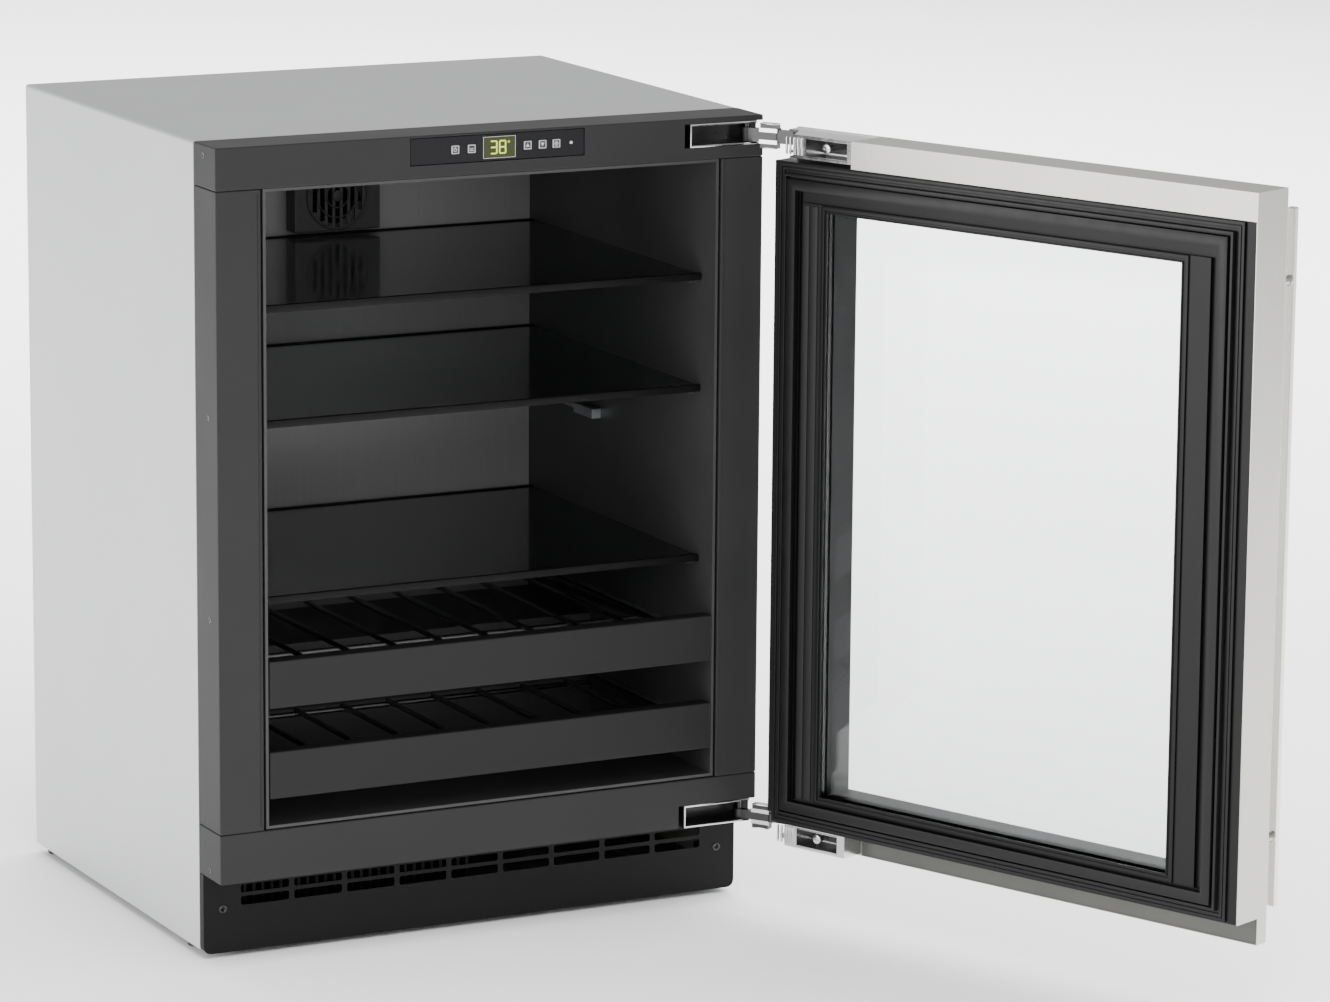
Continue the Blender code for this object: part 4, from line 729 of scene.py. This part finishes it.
# %% Channels on the shelf edges
CHANNEL_PROUD, CHANNEL_GRIP = 0.0004, 0.0060  # past the glass's edge, and over it
for number in (1, 2, 3):
    low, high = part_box(f"glass_shelf_{number}")
    channels = []
    for y0, y1, groove in (
        (low.y - CHANNEL_PROUD, low.y + CHANNEL_GRIP, 1),
        (high.y - CHANNEL_GRIP, high.y + CHANNEL_PROUD, -1),
    ):
        bar = block("channel", (low.x, y0, low.z - 0.0012), (high.x, y1, high.z + 0.0012))
        middle = (y0 + y1) / 2
        slot = block("groove", (low.x - 0.01, middle, low.z), (high.x + 0.01, middle + groove * 0.01, high.z))
        slot.data.transform(Matrix.Translation((0, -groove * 0.0022, 0)))
        subtract(bar, slot)
        channels.append(ease(bar, 0.0006, 2))
    trims = merge(f"shelf_trims_{number}", channels)
    finish_piece(trims, "cabinet", black_abs_and_toe_shade)
print("shelf trims: 3 pairs")

# %% [markdown]
# ## Fan guard
# Air is drawn through a round grille in a small moulded box on the back wall. The box keeps its solid; rings and a
# hub are added over the bars, as a moulded grille has them.

# %% Rings and hub on the fan guard
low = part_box("fan_guard")[0]
fan = Vector(joints["evaporator_fan_spin"]["pos_m"])
GUARD_RINGS = ((0.0350, 0.0016), (0.0235, 0.0009), (0.0130, 0.0009))  # radius, and half the thickness
ring_parts = []
for radius, thick in GUARD_RINGS:
    deselect()
    bpy.ops.mesh.primitive_torus_add(
        major_radius=radius, minor_radius=thick, major_segments=64, minor_segments=10,
        location=(fan.x, low.y - 0.0002, fan.z), rotation=(math.radians(90), 0, 0),
    )
    ring_parts.append(bpy.context.object)
hub = disc("hub", (fan.x, low.y - 0.0001, fan.z), (0, 1, 0), 0.0062, 0.0030)
ring_parts.append(ease(hub, 0.0008, 2))
rings = merge("fan_guard_rings", ring_parts)
finish_piece(rings, "cabinet", liner)

# %% [markdown]
# ## Beads beside the opening
# The frame's stiles end in a small rounded bead where they meet the liner. It hides the joint, and it catches the
# light as one thin vertical line.

# %% Beads on the stiles
for hand, sign in (("left", -1), ("right", 1)):
    low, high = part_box(f"frame_{hand}_stile")
    edge = low.x if sign > 0 else high.x
    x0, x1 = sorted((edge + sign * 0.0030, edge + sign * 0.0044))
    bead_strip = block("bead", (x0, low.y - 0.0004, low.z + 0.004), (x1, low.y + 0.0010, high.z - 0.004))
    ease(bead_strip, 0.00055, 3)
    bead_strip.name = f"opening_bead_{hand}"
    finish_piece(bead_strip, "cabinet", fascia)

# %% [markdown]
# ## Screws
# Pan-head screws hold the frame and the toe kick. One is made: a rounded disc with a crossed slot cut in it. The
# copies are turned to face out of the surface they sit on, and their heads are sunk so that little stands proud.

# %% One screw and its copies
head = disc("screw", (0, 0, 0), (0, 0, 1), 0.0036, 0.0016)
ease(head, 0.0007, 3)
for angle in (0, 90):
    slot_cut = block("slot", (-0.0021, -0.0004, 0.0000), (0.0021, 0.0004, 0.0020))
    slot_cut.data.transform(Matrix.Rotation(math.radians(angle), 4, "Z"))
    subtract(head, slot_cut)


def screw_at(name, place, out, finish=enamel, size=1.0):
    """A copy of the screw head, facing out of the surface it is sunk in."""
    turn = Vector(out).to_track_quat("Z", "Y").to_matrix().to_4x4()
    copy = twin(head, name, Matrix.Translation(place) @ turn @ Matrix.Scale(size, 4))
    return finish_piece(copy, "cabinet", finish)


FRAME_SCREWS = ((0.031, 0.818), (0.023, 0.556), (0.023, 0.3505), (0.028, 0.090))  # behind the face, and up
TOE_SCREW_X, TOE_SCREW_Z = 0.2825, 0.0425
toe_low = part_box("toe_kick")[0]
for number, (back, z) in enumerate(FRAME_SCREWS, 1):
    for hand, sign in (("left", -1), ("right", 1)):
        if hand == "right" and number in (1, 4):
            continue
        spot = (sign * (side - 0.0004), face_y + back, z)
        screw_at(f"frame_screw_{hand}_{number}", spot, (sign, 0, 0), size=0.9)
for hand, sign in (("left", -1), ("right", 1)):
    spot = (sign * TOE_SCREW_X, toe_low.y + 0.0001, TOE_SCREW_Z)
    screw_at(f"toe_screw_{hand}", spot, (0, -1, 0), size=1.25)
back_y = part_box("back_panel")[1].y
count = 0
for z in (0.03, 0.42, 0.80):
    for x in (-0.285, 0.0, 0.285):
        if z == 0.42 and x == 0.0:
            continue
        count += 1
        spot = (x, back_y - 0.0005, z)
        screw_at(f"back_screw_{count}", spot, (0, 1, 0), finish=nickel)
bpy.data.objects.remove(head, do_unlink=True)
print("screws on the back:", count)

# %% [markdown]
# ## Control strip
# Five keys, a lit temperature window and a status lamp sit in one strip. The keys carry plain printed symbols, and
# the window shows a temperature in seven-segment digits, built from small bars with pointed ends.

# %% Seven-segment digits
lens_low, lens_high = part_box("display_lens")
SEGMENTS = {"3": "abgcd", "8": "abcdefg"}
digit_h = 0.0125
digit_w = 0.0066
bar_t = 0.0015


def segment(x, z, across):
    """One bar of a digit, its two ends drawn to a point."""
    long_side = (digit_w if across else digit_h / 2) / 2 - bar_t * 0.28
    half_x, half_z = (long_side, bar_t / 2) if across else (bar_t / 2, long_side)
    bar = block(
        "bar",
        (x - half_x, lens_low.y - 0.00022, z - half_z),
        (x + half_x, lens_low.y - 0.00002, z + half_z),
    )
    for end in (-1, 1):
        rule = (lambda c, n, e=end: n.x * e > 0.9) if across else (lambda c, n, e=end: n.z * e > 0.9)
        pick_faces(bar, rule)
        push = (end * bar_t * 0.25, 0, 0) if across else (0, 0, end * bar_t * 0.25)
        bpy.ops.mesh.extrude_region_move(TRANSFORM_OT_translate={"value": push})
        squeeze = (1, 1, 0.35) if across else (0.35, 1, 1)
        bpy.ops.transform.resize(value=squeeze)
        done()
    return bar


places = {
    "a": (0, 1, True), "d": (0, -1, True), "g": (0, 0, True),
    "b": (1, 0.5, False), "c": (1, -0.5, False), "f": (-1, 0.5, False), "e": (-1, -0.5, False),
}
middle = (lens_low + lens_high) / 2
bars = []
for position, figure in enumerate("38"):
    cx = middle.x - 0.0062 + position * 0.0098
    for letter in SEGMENTS[figure]:
        dx, dz, across = places[letter]
        bars.append(segment(cx + dx * digit_w / 2, middle.z + dz * digit_h / 2, across))
deselect()
bpy.ops.mesh.primitive_torus_add(
    major_radius=0.0010, minor_radius=0.00028, major_segments=20, minor_segments=6,
    location=(middle.x + 0.0105, lens_low.y - 0.0001, middle.z + 0.0050), rotation=(math.radians(90), 0, 0),
)
bars.append(bpy.context.object)
digits = merge("display_digits", bars)
finish_piece(digits, "cabinet", lit)

RIM_OUTER, RIM_INNER = 0.0003, 0.0007  # in from the window's edge
rim = block(
    "display_rim",
    (lens_low.x + RIM_OUTER, lens_low.y - 0.0003, lens_low.z + RIM_OUTER),
    (lens_high.x - RIM_OUTER, lens_low.y - 0.00005, lens_high.z - RIM_OUTER),
)
cut_out = block(
    "cut_out",
    (lens_low.x + RIM_INNER, lens_low.y - 0.01, lens_low.z + RIM_INNER),
    (lens_high.x - RIM_INNER, lens_low.y + 0.01, lens_high.z - RIM_INNER),
)
rim = subtract(rim, cut_out)
finish_piece(rim, "cabinet", ink)

# %% Key symbols
def thin_ring(x, z, y, radius, thick):
    """A printed ring, as a very thin torus that faces forwards."""
    deselect()
    bpy.ops.mesh.primitive_torus_add(
        major_radius=radius, minor_radius=thick, major_segments=28, minor_segments=6,
        location=(x, y, z), rotation=(math.radians(90), 0, 0),
    )
    return bpy.context.object


def flat_triangle(x, z, y, size, up):
    """A printed triangle that points up or down."""
    deselect()
    bpy.ops.mesh.primitive_cylinder_add(vertices=3, radius=size, depth=0.0002)
    tri = bpy.context.object
    tri.matrix_world = (
        Matrix.Translation((x, y, z))
        @ Matrix.Rotation(math.radians(90), 4, "X")
        @ Matrix.Rotation(math.radians(0 if up else 180), 4, "Z")
    )
    bpy.ops.object.transform_apply(location=True, rotation=True, scale=True)
    return ease(tri, 0.00006, 1)


KEY_LINE, KEY_LINE_LEFT = 0.0007, 0.0010  # the printed line is a little wider at the left


def key_frame(x, z, y, half):
    """The thin printed square round a key's symbol."""
    outer = block("outline", (x - half, y - 0.0001, z - half), (x + half, y + 0.0001, z + half))
    inner = block(
        "inner",
        (x - half + KEY_LINE_LEFT, y - 0.001, z - half + KEY_LINE),
        (x + half - KEY_LINE, y + 0.001, z + half - KEY_LINE),
    )
    return subtract(outer, inner)


def key_bar(name, x, z, y, half, z0, z1):
    """A printed bar between two heights, measured from the key's middle."""
    return block(name, (x - half, y - 0.0001, z + z0), (x + half, y + 0.0001, z + z1))


for number in range(1, 6):
    low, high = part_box(f"button_{number}")
    cx, cz = (low.x + high.x) / 2, (low.z + high.z) / 2
    y = low.y - 0.00005
    parts = [key_frame(cx, cz, y, (high.x - low.x) / 2 - 0.0007)]
    if number == 1:
        parts.append(thin_ring(cx, cz, y, 0.0017, 0.0003))
        parts.append(key_bar("dash", cx, cz, y, 0.0003, 0.0004, 0.0026))
    elif number == 2:
        parts.append(key_bar("bulb", cx, cz, y, 0.0021, -0.0004, 0.0004))
        parts.append(key_bar("bulb", cx, cz, y, 0.0021, -0.0021, -0.0014))
    elif number == 3:
        parts.append(flat_triangle(cx, cz - 0.0004, y, 0.0024, True))
    elif number == 4:
        parts.append(flat_triangle(cx, cz + 0.0004, y, 0.0024, False))
    else:
        parts.append(thin_ring(cx, cz, y, 0.0020, 0.0003))
        parts.append(thin_ring(cx, cz, y, 0.0008, 0.0004))
    symbol = merge(f"key_symbol_{number}", parts)
    finish_piece(symbol, f"button_{number}", ink)
print("key symbols: 5")

# %% [markdown]
# ## Hinge hardware
# Each hinge shows bright link plates over a black arm, with round rivet heads on its pins, and screws in the plate
# that is let into the door.

# %% Links, rivets and cup lips
for label in ("upper", "lower"):
    arm_low, arm_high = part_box(f"hinge_arm_{label}")
    cup_low, cup_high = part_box(f"hinge_cup_{label}")
    along = (door_pin - arm_pin).normalized()
    parts = []
    for z in (arm_high.z - 0.0001, arm_low.z - 0.0011):
        plate = block("link", (0.0175, -0.0047, z), (0.0375, 0.0047, z + 0.0012))
        parts.append(ease(plate, 0.0004, 2))
        for spot in (0.0215, 0.0335):
            rivet = disc("rivet", (spot, 0, z + 0.0006), (0, 0, 1), 0.0021, 0.0022, 24)
            parts.append(ease(rivet, 0.0005, 2))
    for z in (0.25, 0.75):
        level_z = arm_low.z + (arm_high.z - arm_low.z) * z
        for side_way in (-1, 1):
            y0, y1 = sorted((side_way * 0.0044, side_way * 0.0050))
            strap = block("strap", (0.0170, y0, level_z - 0.0022), (0.0380, y1, level_z + 0.0022))
            parts.append(ease(strap, 0.0002, 1))
    links = merge(f"hinge_links_{label}", parts)
    turn = Matrix.Rotation(math.atan2(along.y, along.x), 4, "Z")
    links.data.transform(Matrix.Translation((arm_pin.x, arm_pin.y, 0)) @ turn)
    finish_piece(links, f"hinge_arm_{label}", nickel)

    # The cup's bright lip, a thin frame round its mouth.
    lip = block(
        "lip",
        (cup_low.x, cup_low.y - 0.0006, cup_low.z),
        (cup_high.x, cup_low.y + 0.0006, cup_high.z),
    )
    hole = block(
        "hole",
        (cup_low.x + 0.0018, cup_low.y - 0.01, cup_low.z + 0.0020),
        (cup_high.x + 0.01, cup_low.y + 0.01, cup_high.z - 0.0020),
    )
    subtract(lip, hole)
    lip.name = f"hinge_cup_lip_{label}"
    ease(lip, 0.0003, 2)
    finish_piece(lip, "cabinet", nickel)

# %% [markdown]
# ## Door brackets
# The plate in the door's corner is pressed steel. Its web carries a dark washer plate, short stiffening ribs near
# the pin, and one round adjusting screw that sets how far the door stands from the cabinet.

# %% Ribs, washer plate and adjusting screw
for label in ("upper", "lower"):
    low, high = door_box(f"hinge_bracket_{label}")
    plate = block("washer_plate", (0.0450, 0.0386, low.z + 0.0030), (0.0972, 0.0396, high.z - 0.0030))
    pick_faces(plate, lambda c, n: n.y < -0.9)
    bpy.ops.mesh.inset(thickness=0.0020, depth=0)
    bpy.ops.mesh.extrude_region_move(TRANSFORM_OT_translate={"value": (0, 0.0004, 0)})
    done()
    ease(plate, 0.0002, 1)
    plate.name = f"hinge_washer_plate_{label}"
    onto_door(plate)
    finish_piece(plate, "door", enamel)

    parts = []
    rib = block("rib", (0.0190, 0.0044, low.z + 0.0030), (0.0206, 0.0068, high.z - 0.0030))
    ease(rib, 0.0005, 2)
    for step in range(5):
        parts.append(twin(rib, "rib", Matrix.Translation((step * 0.0048, 0, 0))))
    bpy.data.objects.remove(rib, do_unlink=True)
    middle_z = (low.z + high.z) / 2
    stem = disc("stem", (0.067, 0.026, middle_z), (0, 1, 0), 0.0030, 0.0250, 24)
    parts.append(ease(stem, 0.0004, 1))
    screw = disc("screw", (0.067, 0.0120, middle_z), (0, 1, 0), 0.0052, 0.0030, 32)
    ease(screw, 0.0010, 3)
    slot_cut = block("slot", (0.0628, 0.0100, middle_z - 0.0005), (0.0712, 0.0114, middle_z + 0.0005))
    parts.append(subtract(screw, slot_cut))
    for z0, z1 in ((low.z + 0.0024, low.z + 0.0036), (high.z - 0.0036, high.z - 0.0024)):
        rail = block("rail", (0.0445, 0.0056, z0), (0.0975, 0.0072, z1))
        parts.append(ease(rail, 0.0004, 1))
    ribs = merge(f"hinge_bracket_ribs_{label}", parts)
    onto_door(ribs)
    finish_piece(ribs, "door", nickel)

# %% [markdown]
# ## Handle posts
# The bar stands off the door on two turned posts, each with a small collar at both ends.

# %% Turned posts
for label in ("upper", "lower"):
    low, high = door_box(f"handle_post_{label}")
    cx, cz = (low.x + high.x) / 2, (low.z + high.z) / 2
    radius = (high.x - low.x) / 2
    post = disc("post", (cx, (low.y + high.y) / 2, cz), (0, 1, 0), radius * 0.92, high.y - low.y, 48)
    parts = [ease(post, 0.0003, 1)]
    for y in (low.y + 0.0015, high.y - 0.0015):
        collar = disc("collar", (cx, y, cz), (0, 1, 0), radius * 1.18, 0.0030, 48)
        parts.append(ease(collar, 0.0008, 3))
    post = merge(f"handle_stand_{label}", parts)
    onto_door(post)
    finish_piece(post, "door", stainless)
    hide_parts(f"handle_post_{label}")

# %% [markdown]
# ## Studio
# A wide pale floor fills the view behind the cabinet. The light is an even sky with large soft lamps: a low one on
# the left for the side panel, shaded off the frame, a weak one under the ceiling of the cavity, one in front and
# to the left for the frame, and two over the floor. Those two light the floor alone, as a studio's background
# light does, so the cabinet's top stays calm.

# %% Floor, sky and lamps
deselect()
bpy.ops.mesh.primitive_plane_add(size=60, location=(0, 0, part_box("foot_front_left")[0].z - 0.0005))
floor = bpy.context.object
floor.name = "studio_floor"
pale, tree, shader, place = start_finish("pale_studio_floor", "F6F6F6", 0.0, 0.9)
soft = add(tree, "ShaderNodeTexNoise", {"Vector": place, "Scale": 0.6, "Detail": 2.0}).outputs["Fac"]
vary(tree, shader.inputs["Base Color"], soft, "F4F4F4", "F8F8F8")
floor.data.materials.append(pale)
floor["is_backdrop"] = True

sky = bpy.data.worlds.new("studio_sky")
sky.use_nodes = True
sky.node_tree.nodes["Background"].inputs["Color"].default_value = (1.0, 1.0, 1.0, 1.0)
sky.node_tree.nodes["Background"].inputs["Strength"].default_value = 0.85
bpy.context.scene.world = sky


def lamp(name, place, target, size, power):
    """A soft lamp at a place, aimed at a target: its width and height in metres, its power in watts."""
    light = bpy.data.lights.new(name, "AREA")
    light.shape = "RECTANGLE"
    light.size, light.size_y = size
    light.energy = power
    holder = bpy.data.objects.new(name, light)
    bpy.context.scene.collection.objects.link(holder)
    aim = (Vector(target) - Vector(place)).to_track_quat("-Z", "Y").to_matrix().to_4x4()
    holder.matrix_world = Matrix.Translation(place) @ aim
    return holder


flagged = lamp("side_lamp", (-3.6, -0.3, 0.9), (-0.3, 0.1, 0.35), (2.2, 1.6), 75)
off_the_frame = bpy.data.collections.new("off_the_frame")
for name in ("frame_top_rail", "frame_left_stile", "frame_bottom_rail", "frame_right_stile", "toe_kick"):
    off_the_frame.objects.link(nodes[name])
for entry in off_the_frame.collection_objects:
    entry.light_linking.link_state = "EXCLUDE"
flagged.light_linking.receiver_collection = off_the_frame
cavity = lamp("cavity_lamp", (0.0, 0.02, 0.775), (0.0, 0.12, 0.2), (0.36, 0.06), 0.14)
cavity.visible_glossy = False
lamp("front_lamp", (-1.9, -3.4, 1.7), (0, 0, 0.45), (1.6, 1.2), 26)
backdrop = lamp("back_floor_lamp", (2.2, 4.4, 3.2), (2.4, 4.6, 0), (9.0, 6.0), 1200)
floor_only = bpy.data.collections.new("floor_only")
floor_only.objects.link(floor)
forefloor = lamp("front_floor_lamp", (0.8, -2.2, 3.0), (0.6, -1.2, 0), (5.0, 3.5), 260)
for light in (backdrop, forefloor):
    light.light_linking.receiver_collection = floor_only

# %% [markdown]
# ## Size and count
# The finer model should fill the same box as the solid one. The box of the finer model is found, and the number of
# pieces made is printed.

# %% Find the box and count the pieces
low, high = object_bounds()
print("pieces made:", len(made_pieces))
